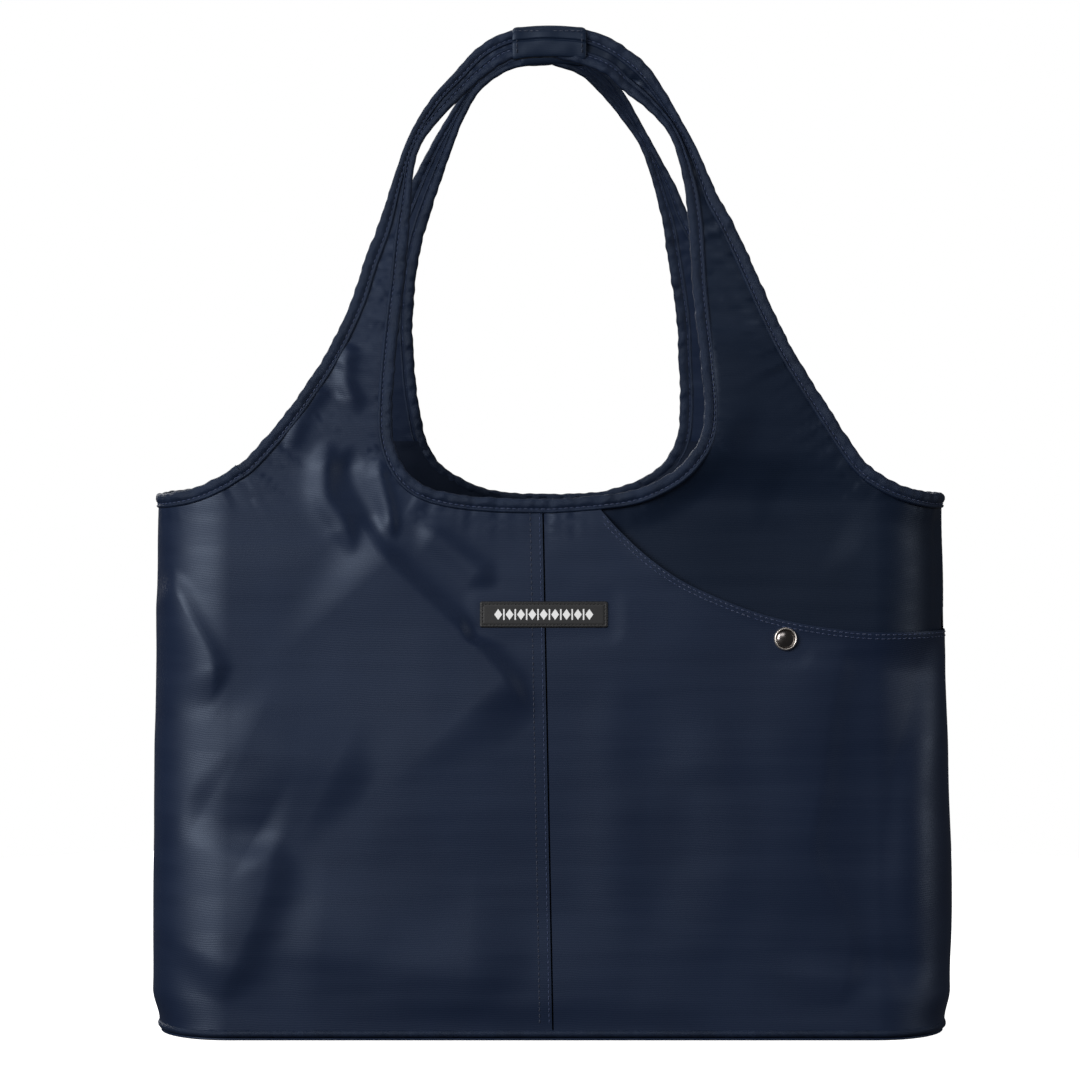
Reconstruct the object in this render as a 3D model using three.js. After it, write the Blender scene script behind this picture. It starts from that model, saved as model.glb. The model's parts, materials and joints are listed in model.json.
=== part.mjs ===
// Foldable tote bag: two cloth sheets that lean together, U-shaped side gussets, an oval-cornered base,
// tank-style arms that meet in a wrapped handle on each sheet, and a slip pocket with a snap.
//
// Frame: millimetres, +Z up, the bag faces -Y, the origin is at the middle of the base on the ground.
// Each sheet has its own flat frame: X across, Y up along the sheet (called the rise) and outward depth.
// Left and right are those of someone who looks at the front.
import * as THREE from "three";

// ---- driving dimensions ----
const WIDTH = 426;
const BASE_DEPTH = 154;
const APEX = 770; // height at which the two leaning sheets would meet
const LEAN = Math.atan(BASE_DEPTH / 2 / APEX);
const CORNER_RADIUS = 40;
const FLAT_HALF = WIDTH / 2 - CORNER_RADIUS; // the sheets are flat out to here
const CREASE = 340; // height at which the arms fold
const RIM = 290; // height of the side rims
const RIM_LIFT = 13.5; // how far the rim climbs over a rounded corner
const CLOTH = 0.8;
const GAP = 0.3;
const BINDING = 5; // visible width of the edge tape
const PROUD = 0.8; // how far the tape stands out of the cloth
const UNDER_LAYER = 4.2; // depth of the cloth behind the pocket
const LINING_DEPTH = 6.5;
const LINING = 1;
const BODY_TAPE_DEPTH = 7.8;
const FACING_DEPTH = CLOTH + GAP;
const ARM_TAPE_DEPTH = 2.7;
const BASE_PLATE = 1.5;
const PIPING = 4.5;
const WALL_FOOT = 6.9; // the walls start here, above the piping
const SEAM_FOOT = 0.5; // x of the centre seam at the base
const SEAM_TOP = -5; // x of the centre seam at the neckline
const SNAP = new THREE.Vector2(125, 213);
const SNAP_RADIUS = 6.25;
const SNAP_HOLE = 1.5;
const LABEL = { x: -4.5, z: 226, width: 68.5, height: 14, thickness: 1.2 };
const WRAP_THICKNESS = 1.1;
const EDGE_STEPS = 32; // straight steps along each edge of a sheet

const finishes = {
  shell: { color: 0x1a2338, roughness: 0.45, metalness: 0 },
  tape: { color: 0x18233c, roughness: 0.6, metalness: 0 },
  lining: { color: 0x141b2c, roughness: 0.7, metalness: 0 },
  board: { color: 0x22252b, roughness: 0.9, metalness: 0 },
  rubber: { color: 0x0b0b0d, roughness: 0.55, metalness: 0 },
  metal: { color: 0x9a9a9c, roughness: 0.2, metalness: 1 },
};

const rise = (height) => height / Math.cos(LEAN);
const at = (x, height) => new THREE.Vector2(x, rise(height));
const CREASE_RISE = rise(CREASE);
const FOOT_RISE = rise(WALL_FOOT) + 0.6;

// ---- outlines of one sheet, as heights above the ground ----
const frontOuter = {
  left: [[-193, 293.4], [-173, 303.5], [-164, 310], [-144, 333], [-118, 373], [-101, 417], [-93, 438],
    [-79, 480], [-66, 503], [-52, 519], [-38.6, 533], [-20, 541.5], [0, 542.5]],
  right: [[193, 293.4], [173, 303.5], [165, 312], [150, 335], [127, 373], [101, 430], [79, 476],
    [66, 500], [54, 519], [43, 529.5], [31, 537], [18, 541.5], [0, 542.5]],
};
const frontInner = {
  left: [[0, 288], [-30, 288.6], [-54, 291], [-70, 296], [-80, 306], [-85.5, 322], [-85.5, 345],
    [-83, 375], [-78, 410], [-73, 445], [-64, 475], [-52, 499], [-38, 514], [-20, 525.5], [0, 526.5]],
  right: [[0, 288], [26, 290], [45, 293], [61, 300], [72, 309], [79.5, 321], [81.7, 336],
    [79.7, 363], [76, 398], [74, 430], [68, 460], [58, 484], [46, 500], [34, 512], [18, 525.5], [0, 526.5]],
};
const backOuter = [[193, 293.4], [173, 303.5], [164, 310], [147, 334], [122, 373], [103, 405], [82, 440],
  [67, 478], [58, 494], [46, 510], [33, 524], [18, 538], [0, 540]];
const backInner = [[0, 288], [30, 290], [56, 300], [69, 316], [73, 337], [74.5, 365], [73.5, 390],
  [69.5, 420], [63, 448], [53, 474], [42, 494], [30, 509], [16, 523], [0, 524.5]];
const pocketMouth = [[27, 281], [36, 271], [51, 257], [68, 245], [85, 236.6], [107, 228], [125, 223],
  [143, 219.6], [160, 217.4], [172.7, 216.5]];
const MOUTH_SPLIT = 5; // the mouth's point at which the two flaps meet
const FLAP_ROOT = [105, 95]; // the low point at which the flaps' two crease lines meet

// ---- plane geometry ----
const toPoints = (pairs) => pairs.map(([x, height]) => at(x, height));
const smooth = (pairs, steps) => new THREE.SplineCurve(toPoints(pairs)).getPoints(steps);
const mirrored = (pairs) => pairs.map(([x, height]) => [-x, height]);

/** Moves a polyline sideways, to the left of its direction when distance is positive. */
function offset(points, distance) {
  return points.map((point, index) => {
    const before = points[Math.max(index - 1, 0)];
    const after = points[Math.min(index + 1, points.length - 1)];
    const along = after.clone().sub(before).normalize();
    return new THREE.Vector2(point.x - along.y * distance, point.y + along.x * distance);
  });
}

/** Keeps the stretch of a polyline where measure(point) is positive, cut exactly where it is zero. */
function keepWhere(points, measure) {
  const kept = [];
  points.forEach((point, index) => {
    const value = measure(point);
    if (index > 0) {
      const previous = measure(points[index - 1]);
      if (value > 0 !== previous > 0) {
        kept.push(points[index - 1].clone().lerp(point, previous / (previous - value)));
      }
    }
    if (value > 0) kept.push(point);
  });
  return kept;
}

const belowCrease = (point) => CREASE_RISE - GAP / 2 - point.y;
const aboveCrease = (point) => point.y - CREASE_RISE - GAP / 2;
const onFlat = (point) => FLAT_HALF - GAP - Math.abs(point.x);
const seamX = (rising) => THREE.MathUtils.mapLinear(rising, 0, rise(RIM), SEAM_FOOT, SEAM_TOP);

/** Both edges of one side of a sheet, with the lines where the tape ends and where the cloth begins. */
function sideEdges(outerPairs, innerPairs, sign) {
  const outer = smooth(outerPairs, EDGE_STEPS);
  const inner = smooth(innerPairs, EDGE_STEPS);
  const tapeAndGap = BINDING + GAP;
  return {
    outer,
    inner,
    outerTape: offset(outer, sign * BINDING),
    innerTape: offset(inner, -sign * BINDING),
    outerCloth: offset(outer, sign * tapeAndGap),
    innerCloth: offset(inner, -sign * tapeAndGap),
  };
}

// ---- solids ----
const materials = Object.fromEntries(
  Object.entries(finishes).map(([name, values]) => [name, new THREE.MeshStandardMaterial(values)]),
);

function mesh(name, geometry, finish) {
  const piece = new THREE.Mesh(geometry, materials[finish].clone());
  piece.name = name;
  return piece;
}

/** A flat plate in a sheet's frame, from one depth to another; depth grows outward. */
function plate(name, outline, outerDepth, innerDepth, finish, holes = []) {
  const shape = new THREE.Shape(outline);
  shape.holes = holes;
  const thickness = outerDepth - innerDepth;
  const geometry = new THREE.ExtrudeGeometry(shape, { depth: thickness, bevelEnabled: false, curveSegments: 12 });
  geometry.rotateX(Math.PI / 2);
  geometry.translate(0, -innerDepth, 0);
  return mesh(name, geometry, finish);
}

/** A turned part whose axis points outward from a sheet. */
function turned(name, profile, place, finish) {
  const points = profile.map(([radius, depth]) => new THREE.Vector2(radius, depth));
  const geometry = new THREE.LatheGeometry(points, 20);
  geometry.rotateX(Math.PI);
  const piece = mesh(name, geometry, finish);
  piece.position.set(place.x, 0, rise(place.y));
  return piece;
}

/** A closed shell between two grids of points with the same number of rows and columns. */
function shell(name, outerGrid, innerGrid, finish) {
  const rows = outerGrid.length;
  const columns = outerGrid[0].length;
  const positions = [...outerGrid.flat(), ...innerGrid.flat()].flatMap((point) => point.toArray());
  const index = [];
  const outerAt = (row, column) => row * columns + column;
  const innerAt = (row, column) => rows * columns + outerAt(row, column);
  const quad = (a, b, c, d) => index.push(a, b, c, a, c, d);
  for (let row = 0; row < rows - 1; row += 1) {
    for (let column = 0; column < columns - 1; column += 1) {
      quad(outerAt(row, column), outerAt(row + 1, column), outerAt(row + 1, column + 1), outerAt(row, column + 1));
      quad(innerAt(row, column), innerAt(row, column + 1), innerAt(row + 1, column + 1), innerAt(row + 1, column));
    }
    quad(outerAt(row, 0), innerAt(row, 0), innerAt(row + 1, 0), outerAt(row + 1, 0));
    const last = columns - 1;
    quad(outerAt(row, last), outerAt(row + 1, last), innerAt(row + 1, last), innerAt(row, last));
  }
  for (let column = 0; column < columns - 1; column += 1) {
    quad(outerAt(0, column), outerAt(0, column + 1), innerAt(0, column + 1), innerAt(0, column));
    const last = rows - 1;
    quad(outerAt(last, column), innerAt(last, column), innerAt(last, column + 1), outerAt(last, column + 1));
  }
  const geometry = new THREE.BufferGeometry();
  geometry.setAttribute("position", new THREE.Float32BufferAttribute(positions, 3));
  geometry.setIndex(index);
  return mesh(name, geometry, finish);
}

// ---- the front and back sheets ----
const reversed = (points) => [...points].reverse();

/** The tape along one edge: the edge itself and the same line moved in by the tape's width. */
function tape(name, edge, tapeLine, keep, depth) {
  const outline = [...keepWhere(edge, keep), ...reversed(keepWhere(tapeLine, keep))];
  return plate(name, outline, PROUD, -depth, "tape");
}

/** The tape round the neckline, from crease to crease. */
function neckTape(name, left, right) {
  const edge = [...reversed(keepWhere(left.inner, belowCrease)), ...keepWhere(right.inner, belowCrease).slice(1)];
  const under = [
    ...reversed(keepWhere(left.innerTape, belowCrease)),
    ...keepWhere(right.innerTape, belowCrease).slice(1),
  ];
  return plate(name, [...edge, ...reversed(under)], PROUD, -BODY_TAPE_DEPTH, "tape");
}

/** The outline of a sheet's cloth below the crease, between two upright limits. */
function bodyOutline(left, right) {
  const leftNeck = keepWhere(left.innerCloth, belowCrease);
  const rightNeck = keepWhere(right.innerCloth, belowCrease);
  const leftArmhole = keepWhere(keepWhere(left.outerCloth, belowCrease), onFlat);
  const rightArmhole = keepWhere(keepWhere(right.outerCloth, belowCrease), onFlat);
  const limit = FLAT_HALF - GAP;
  return {
    leftHalf: [new THREE.Vector2(-limit, FOOT_RISE), ...leftArmhole, ...reversed(leftNeck)],
    rightHalf: [...rightNeck, ...reversed(rightArmhole), new THREE.Vector2(limit, FOOT_RISE)],
  };
}

/** Cuts a half outline of the body at the centre seam. */
function toSeam(points, side) {
  const kept = keepWhere(points, (point) => side * (point.x - seamX(point.y)) - GAP / 2);
  const foot = new THREE.Vector2(seamX(FOOT_RISE) + (side * GAP) / 2, FOOT_RISE);
  return side < 0 ? [...kept, foot] : [foot, ...kept];
}

/** One arm above the crease: cloth, facing and the tapes along its two edges. */
function arm(prefix, side, edges) {
  const offCentre = (point) => Math.abs(point.x) * Math.sign(point.x * edges.outer[0].x) - GAP / 2;
  const up = (points) => keepWhere(keepWhere(points, aboveCrease), offCentre);
  const outline = [...up(edges.outerCloth), ...reversed(up(edges.innerCloth))];
  return [
    plate(`${prefix}_${side}_arm`, outline, 0, -CLOTH, "shell"),
    plate(`${prefix}_${side}_facing`, outline, -FACING_DEPTH, -FACING_DEPTH - CLOTH, "shell"),
    plate(
      `${prefix}_${side}_outer_binding`,
      [...up(edges.outer), ...reversed(up(edges.outerTape))],
      PROUD,
      -ARM_TAPE_DEPTH,
      "tape",
    ),
    plate(
      `${prefix}_${side}_inner_binding`,
      [...up(edges.inner), ...reversed(up(edges.innerTape))],
      PROUD,
      -ARM_TAPE_DEPTH,
      "tape",
    ),
  ];
}

/** The sleeve that wraps the two arms where they meet, a flat tube along X. */
function wrap(name, fromX, toX, low, high) {
  const sleeve = (margin) => [
    new THREE.Vector2(-PROUD - margin, rise(low) - margin),
    new THREE.Vector2(ARM_TAPE_DEPTH + margin, rise(low) - margin),
    new THREE.Vector2(ARM_TAPE_DEPTH + margin, rise(high) + margin),
    new THREE.Vector2(-PROUD - margin, rise(high) + margin),
  ];
  const shape = new THREE.Shape(sleeve(GAP + WRAP_THICKNESS));
  shape.holes = [new THREE.Path(sleeve(GAP))];
  const geometry = new THREE.ExtrudeGeometry(shape, { depth: toX - fromX, bevelEnabled: false });
  geometry.rotateX(Math.PI / 2);
  geometry.rotateZ(Math.PI / 2);
  geometry.translate(fromX, 0, 0);
  return mesh(name, geometry, "shell");
}

function labelPatch() {
  const { x, z, width, height, thickness } = LABEL;
  const corners = [[-1, -1], [1, -1], [1, 1], [-1, 1]];
  const outline = corners.map(([across, up]) => at(x + (across * width) / 2, z + (up * height) / 2));
  return plate("label_patch", outline, GAP + thickness, GAP, "rubber");
}

/** The pocket cloth: a lower panel that stays, and two flaps that open along creases to a low point. */
function pocket(rightHalf) {
  const mouth = toPoints(pocketMouth);
  const root = at(...FLAP_ROOT);
  const leftEnd = mouth[0];
  const rightEnd = mouth[mouth.length - 1];
  const split = mouth[MOUTH_SPLIT];
  const shrink = (points) => {
    const middle = points.reduce((sum, point) => sum.add(point), new THREE.Vector2()).divideScalar(points.length);
    return points.map((point) => point.clone().lerp(middle, 0.006));
  };
  const neckStretch = keepWhere(toSeam(rightHalf, 1), (point) => leftEnd.x - point.x).slice(0, -1);
  const hole = new THREE.Path();
  hole.absarc(SNAP.x, rise(SNAP.y), SNAP_HOLE, 0, Math.PI * 2);
  const lower = [
    ...neckStretch,
    leftEnd.clone().add(new THREE.Vector2(-0.6, 0)),
    root.clone().add(new THREE.Vector2(0, -1)),
    rightEnd.clone().add(new THREE.Vector2(0, -1)),
    new THREE.Vector2(FLAT_HALF - GAP, FOOT_RISE),
  ];
  const leftFlap = shrink([...mouth.slice(0, MOUTH_SPLIT + 1), root]);
  const rightFlap = shrink([...mouth.slice(MOUTH_SPLIT), root]);
  return [
    plate("pocket_lower_panel", lower, 0, -CLOTH, "shell"),
    plate("pocket_left_flap", leftFlap, 0, -CLOTH, "shell"),
    plate("pocket_right_flap", rightFlap, 0, -CLOTH, "shell", [hole]),
  ];
}

/** The four pieces of the snap, from the dome on the pocket to the post behind the front cloth. */
function snap() {
  const shank = SNAP_HOLE - GAP;
  const nub = 2;
  return [
    turned("snap_cap", [[0, -CLOTH], [shank, -CLOTH], [shank, GAP], [SNAP_RADIUS, GAP], [SNAP_RADIUS, 1],
      [SNAP_RADIUS - 0.9, 1.9], [SNAP_RADIUS - 2.6, 2.6], [0, 2.9]], SNAP, "metal"),
    turned("snap_socket", [[nub + GAP, -2.9], [5.5, -2.9], [5.5, -CLOTH - GAP], [nub + GAP, -CLOTH - GAP],
      [nub + GAP, -2.9]], SNAP, "metal"),
    turned("snap_stud", [[0, -UNDER_LAYER - CLOTH], [shank, -UNDER_LAYER - CLOTH], [shank, -UNDER_LAYER + GAP],
      [5, -UNDER_LAYER + GAP], [5, -3.3], [nub, -3.2], [nub, -1.5], [0, -1.3]], SNAP, "metal"),
    turned("snap_post", [[0, -6.2], [5, -6.2], [5, -UNDER_LAYER - CLOTH - GAP], [0, -UNDER_LAYER - CLOTH - GAP]],
      SNAP, "metal"),
  ];
}

function frontSheet() {
  const left = sideEdges(frontOuter.left, frontInner.left, -1);
  const right = sideEdges(frontOuter.right, frontInner.right, 1);
  const { leftHalf, rightHalf } = bodyOutline(left, right);
  const stud = new THREE.Path();
  stud.absarc(SNAP.x, rise(SNAP.y), SNAP_HOLE, 0, Math.PI * 2);
  const armhole = (point) => Math.min(belowCrease(point), onFlat(point));
  return [
    plate("front_left_panel", toSeam(leftHalf, -1), 0, -CLOTH, "shell"),
    plate("front_right_panel", toSeam(rightHalf, 1), -UNDER_LAYER, -UNDER_LAYER - CLOTH, "shell", [stud]),
    plate("front_lining", [...leftHalf, ...rightHalf], -LINING_DEPTH, -LINING_DEPTH - LINING, "lining"),
    ...pocket(rightHalf),
    ...snap(),
    labelPatch(),
    neckTape("front_neck_binding", left, right),
    tape("front_left_armhole_binding", left.outer, left.outerTape, armhole, BODY_TAPE_DEPTH),
    tape("front_right_armhole_binding", right.outer, right.outerTape, armhole, BODY_TAPE_DEPTH),
    ...arm("front", "left", left),
    ...arm("front", "right", right),
    wrap("front_handle_wrap", -21.5, 18.5, 523.8, 542.6),
  ];
}

/** The back sheet is drawn as seen from behind, so its right side is the bag's left. */
function backSheet() {
  const left = sideEdges(mirrored(backOuter), mirrored(backInner), -1);
  const right = sideEdges(backOuter, backInner, 1);
  const { leftHalf, rightHalf } = bodyOutline(left, right);
  const armhole = (point) => Math.min(belowCrease(point), onFlat(point));
  return [
    plate("back_panel", [...leftHalf, ...rightHalf], 0, -CLOTH, "shell"),
    plate("back_lining", [...leftHalf, ...rightHalf], -LINING_DEPTH, -LINING_DEPTH - LINING, "lining"),
    neckTape("back_neck_binding", left, right),
    tape("back_right_armhole_binding", left.outer, left.outerTape, armhole, BODY_TAPE_DEPTH),
    tape("back_left_armhole_binding", right.outer, right.outerTape, armhole, BODY_TAPE_DEPTH),
    ...arm("back", "right", left),
    ...arm("back", "left", right),
    wrap("back_handle_wrap", -17, 17, 521.2, 540.1),
  ];
}

/** A leaning frame whose bottom edge lies on the base's long side. */
function leaning(pieces) {
  const sheet = new THREE.Group();
  sheet.position.y = -BASE_DEPTH / 2;
  sheet.rotation.x = -LEAN;
  sheet.add(...pieces);
  return sheet;
}

// ---- the gussets ----
const CORNER_STEPS = 8;
const rimHeight = (x) => RIM + RIM_LIFT * ((WIDTH / 2 - x) / CORNER_RADIUS) ** 2;

/** One upright line of the gusset: where it stands in plan at a height, moved in by a depth. */
function gussetPoint(step, height, depth) {
  const halfDepth = BASE_DEPTH / 2 - height * Math.tan(LEAN);
  const front = step <= CORNER_STEPS;
  const corner = front ? step : 2 * CORNER_STEPS + 1 - step;
  const angle = ((corner / CORNER_STEPS) * Math.PI) / 2;
  const radius = CORNER_RADIUS - depth;
  const x = FLAT_HALF + radius * Math.sin(angle);
  const y = -(halfDepth - CORNER_RADIUS) - radius * Math.cos(angle);
  return new THREE.Vector3(x, front ? y : -y, height);
}

/** A wall round one end of the bag, between two depths and two heights that follow the rim. */
function endWall(name, side, outerDepth, innerDepth, lowOf, highOf, rows, finish) {
  const grid = (depth) => Array.from({ length: 2 * CORNER_STEPS + 2 }, (_, step) => {
    const corner = Math.min(step, 2 * CORNER_STEPS + 1 - step) / CORNER_STEPS;
    const rim = rimHeight(FLAT_HALF + CORNER_RADIUS * Math.sin((corner * Math.PI) / 2));
    return Array.from({ length: rows + 1 }, (__, row) => {
      const height = THREE.MathUtils.lerp(lowOf(rim), highOf(rim), row / rows);
      const point = gussetPoint(step, height, depth);
      point.x *= side;
      return point;
    });
  });
  return side > 0
    ? shell(name, grid(outerDepth), grid(innerDepth), finish)
    : shell(name, grid(innerDepth), grid(outerDepth), finish);
}

function endPieces(name, side) {
  const foot = () => WALL_FOOT;
  const underTape = (rim) => rim - BINDING - GAP;
  return [
    endWall(`${name}_gusset`, side, 0, CLOTH, foot, underTape, 6, "shell"),
    endWall(`${name}_gusset_lining`, side, LINING_DEPTH, LINING_DEPTH + LINING, foot, underTape, 6, "lining"),
    endWall(`${name}_rim_binding`, side, -PROUD, BODY_TAPE_DEPTH, (rim) => rim - BINDING, (rim) => rim, 1, "tape"),
  ];
}

// ---- the base ----
function baseOutline(Kind, inset) {
  const halfWidth = WIDTH / 2 - inset;
  const halfDepth = BASE_DEPTH / 2 - inset;
  const radius = CORNER_RADIUS - inset;
  const outline = new Kind();
  outline.moveTo(-halfWidth + radius, -halfDepth);
  outline.absarc(halfWidth - radius, -halfDepth + radius, radius, -Math.PI / 2, 0);
  outline.absarc(halfWidth - radius, halfDepth - radius, radius, 0, Math.PI / 2);
  outline.absarc(-halfWidth + radius, halfDepth - radius, radius, Math.PI / 2, Math.PI);
  outline.absarc(-halfWidth + radius, -halfDepth + radius, radius, Math.PI, Math.PI * 1.5);
  return outline;
}

function basePlate(name, inset, low, high, finish, holeInset = null) {
  const shape = baseOutline(THREE.Shape, inset);
  if (holeInset !== null) shape.holes = [baseOutline(THREE.Path, holeInset)];
  const geometry = new THREE.ExtrudeGeometry(shape, { depth: high - low, bevelEnabled: false, curveSegments: 10 });
  geometry.translate(0, 0, low);
  return mesh(name, geometry, finish);
}

function base() {
  const aboveBase = BASE_PLATE + GAP;
  const top = aboveBase + PIPING;
  const inside = PIPING + GAP;
  return [
    basePlate("base_panel", 1, 0, BASE_PLATE, "shell"),
    basePlate("base_piping", -PROUD, aboveBase, top, "tape", PIPING - PROUD),
    basePlate("base_board", inside, aboveBase, top - LINING - GAP, "board"),
    basePlate("base_lining", inside, top - LINING, top, "lining"),
  ];
}

const backHalf = new THREE.Group();
backHalf.rotation.z = Math.PI;
backHalf.add(leaning(backSheet()));

const bag = new THREE.Group();
bag.add(leaning(frontSheet()), backHalf, ...endPieces("left", -1), ...endPieces("right", 1), ...base());

export default bag;
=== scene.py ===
"""Foldable tote bag: cloth, tapes, thread, label and snap round the fixed frame.

Lengths are metres. A half of the bag is drawn on its own sheet: across is the distance from the
centre line, measured round the corner to the side fold, up is the height above the ground and out
is the distance from the sheet towards the outside. Right is the side of positive X.
"""

import json
import logging
import math
from dataclasses import dataclass, field
from enum import Enum
from typing import Callable, Iterable, Sequence

import bpy
import numpy as np
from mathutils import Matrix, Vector
from mathutils.geometry import delaunay_2d_cdt


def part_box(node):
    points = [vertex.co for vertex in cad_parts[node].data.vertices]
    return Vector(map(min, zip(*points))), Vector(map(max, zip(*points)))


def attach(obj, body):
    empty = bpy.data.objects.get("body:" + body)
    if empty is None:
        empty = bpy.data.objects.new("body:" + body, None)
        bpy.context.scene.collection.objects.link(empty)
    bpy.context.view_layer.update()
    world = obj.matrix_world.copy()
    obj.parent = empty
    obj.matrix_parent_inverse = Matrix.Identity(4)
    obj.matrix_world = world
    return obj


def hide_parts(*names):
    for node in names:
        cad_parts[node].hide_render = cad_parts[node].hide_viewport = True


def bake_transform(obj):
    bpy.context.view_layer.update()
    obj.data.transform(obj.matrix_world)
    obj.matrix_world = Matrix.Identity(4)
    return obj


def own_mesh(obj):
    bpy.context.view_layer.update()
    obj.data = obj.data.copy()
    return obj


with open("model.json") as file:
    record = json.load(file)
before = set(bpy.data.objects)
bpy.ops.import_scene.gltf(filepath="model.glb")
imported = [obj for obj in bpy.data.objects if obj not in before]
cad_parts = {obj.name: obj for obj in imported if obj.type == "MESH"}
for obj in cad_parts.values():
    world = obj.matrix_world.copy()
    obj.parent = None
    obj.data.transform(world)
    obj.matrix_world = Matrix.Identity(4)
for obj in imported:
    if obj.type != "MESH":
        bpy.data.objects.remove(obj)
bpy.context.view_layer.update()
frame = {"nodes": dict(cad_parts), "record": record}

log = logging.getLogger("tote")
MM = 0.001
JOINTS = {joint["name"]: joint for joint in frame["record"]["behaviour"]["joints"]}
Array = np.ndarray
Relief = Callable[[Array, Array], Array]


# ---------------------------------------------------------------- sizes taken from the frame
@dataclass(frozen=True)
class Body:
    """The driving sizes of the bag's body, as the frame holds them."""

    half_width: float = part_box("right_gusset")[1].x
    flat_half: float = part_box("right_gusset")[0].x
    half_depth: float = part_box("base_piping")[1].y - 0.8 * MM
    apex: float = JOINTS["fold_flat"]["pos_m"][2]
    crease: float = JOINTS["front_handle_fold"]["pos_m"][2]
    foot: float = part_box("right_gusset")[0].z
    rim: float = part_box("right_rim_binding")[0].z + 5 * MM
    rim_lift: float = 13.5 * MM
    seam_foot: float = 0.5 * MM
    seam_top: float = -5 * MM
    cloth: float = 0.8 * MM
    tuck: float = 3.6 * MM

    @property
    def hem(self) -> float:
        """Height at which the cloths end, inside the piping."""
        return self.foot - self.tuck

    @property
    def corner(self) -> float:
        """Radius of the rounded corners in plan."""
        return self.half_width - self.flat_half

    @property
    def slope(self) -> float:
        """Inward lean of each sheet, as depth lost per height."""
        return self.half_depth / self.apex

    @property
    def arc_end(self) -> float:
        """Distance across at which the corner's arc meets the side."""
        return self.flat_half + self.corner * math.pi / 2

    @property
    def keep(self) -> float:
        """Share of the depth that is left when the bag is folded flat."""
        lean = math.degrees(math.atan(self.slope))
        return 1 - JOINTS["fold_flat"]["range_deg"][1] / (2 * lean)

    def side_fold(self, up: Array | float) -> Array | float:
        """Distance across at which the side's middle fold runs, at a height."""
        return self.arc_end + self.half_depth - self.slope * up - self.corner

    def seam(self, up: Array | float) -> Array | float:
        """Place across of the centre seam, at a height."""
        return self.seam_foot + (self.seam_top - self.seam_foot) * up / self.rim


BODY = Body()


class Half(Enum):
    """The two sheets of the bag, by the side of Y that they stand on."""

    FRONT = -1
    BACK = 1

    @property
    def body(self) -> str:
        """Name of the body that carries this half's sheet."""
        return "front" if self is Half.FRONT else "back"

    @property
    def handle(self) -> str:
        """Name of the body that carries this half's handle."""
        return f"{self.body}_handle"

    @property
    def outward(self) -> Vector:
        """Outward direction of the leaning sheet."""
        return Vector((0, self.value, BODY.slope)).normalized()

    def place(self, across: Array, up: Array, out: Array | float = 0.0) -> Array:
        """Bends points of the flat drawing round the bag.

        Args:
            across: Signed distances from the centre line.
            up: Heights above the ground.
            out: Distances out of the sheet.

        Returns:
            The points in the row frame, one row each.
        """
        across, up, out = np.broadcast_arrays(*(np.asarray(v, float) for v in (across, up, out)))
        side = np.where(across < 0, -1.0, 1.0)
        run = np.abs(across)
        depth = BODY.half_depth - BODY.slope * up
        turn = np.clip((run - BODY.flat_half) / BODY.corner, 0, math.pi / 2)
        past = np.maximum(run - BODY.arc_end, 0)
        lean = math.atan(BODY.slope)
        x = np.minimum(run, BODY.flat_half) + BODY.corner * np.sin(turn) + out * np.sin(turn)
        y = -(depth - BODY.corner) - (BODY.corner + out * math.cos(lean)) * np.cos(turn) + past
        z = up + out * math.sin(lean) * np.cos(turn)
        return np.stack([side * x, -self.value * y, z], -1)


# ---------------------------------------------------------------- lines on a sheet
Pairs = Sequence[tuple[float, float]]


def spline(pairs: Pairs, spacing: float) -> Array:
    """Draws a smooth line through a few points.

    Args:
        pairs: Points in millimetres, across and up.
        spacing: Distance between the points of the result.

    Returns:
        Points in metres, evenly spaced.
    """
    knots = np.array(pairs, float) * MM
    knots = np.vstack([2 * knots[0] - knots[1], knots, 2 * knots[-1] - knots[-2]])
    t = np.linspace(0, 1, 24, endpoint=False)[:, None]
    parts = []
    for a, b, c, d in zip(knots, knots[1:], knots[2:], knots[3:]):
        square, cube = 2 * a - 5 * b + 4 * c - d, 3 * b - a - 3 * c + d
        parts.append(0.5 * (2 * b + (c - a) * t + square * t**2 + cube * t**3))
    return even(np.vstack([*parts, knots[-2:-1]]), spacing)


def run_along(line: Array) -> Array:
    """Distance from the start of a line to each of its points."""
    return np.concatenate([[0], np.cumsum(np.linalg.norm(np.diff(line, axis=0), axis=1))])


def even(points: Array, spacing: float) -> Array:
    """Spaces a line's points evenly.

    Args:
        points: The line.
        spacing: Wanted distance between points.

    Returns:
        The same line with even steps.
    """
    run = run_along(points)
    wanted = np.linspace(0, run[-1], max(2, int(round(run[-1] / spacing)) + 1))
    return np.stack([np.interp(wanted, run, points[:, i]) for i in range(points.shape[1])], 1)


def normals_of(line: Array) -> Array:
    """Unit normals of a line on the sheet, to the left of its direction."""
    along = np.gradient(line, axis=0)
    along /= np.linalg.norm(along, axis=1, keepdims=True)
    return np.stack([-along[:, 1], along[:, 0]], 1)


def beside(line: Array, distance: Array | float) -> Array:
    """The line moved sideways, to its left where the distance is positive."""
    return line + normals_of(line) * np.reshape(distance, (-1, 1))


def points_at(across: Array, up: Array) -> Array:
    """Points of the sheet, one row each, from their two coordinates."""
    return np.stack([np.atleast_1d(across), np.atleast_1d(up)], 1)


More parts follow.
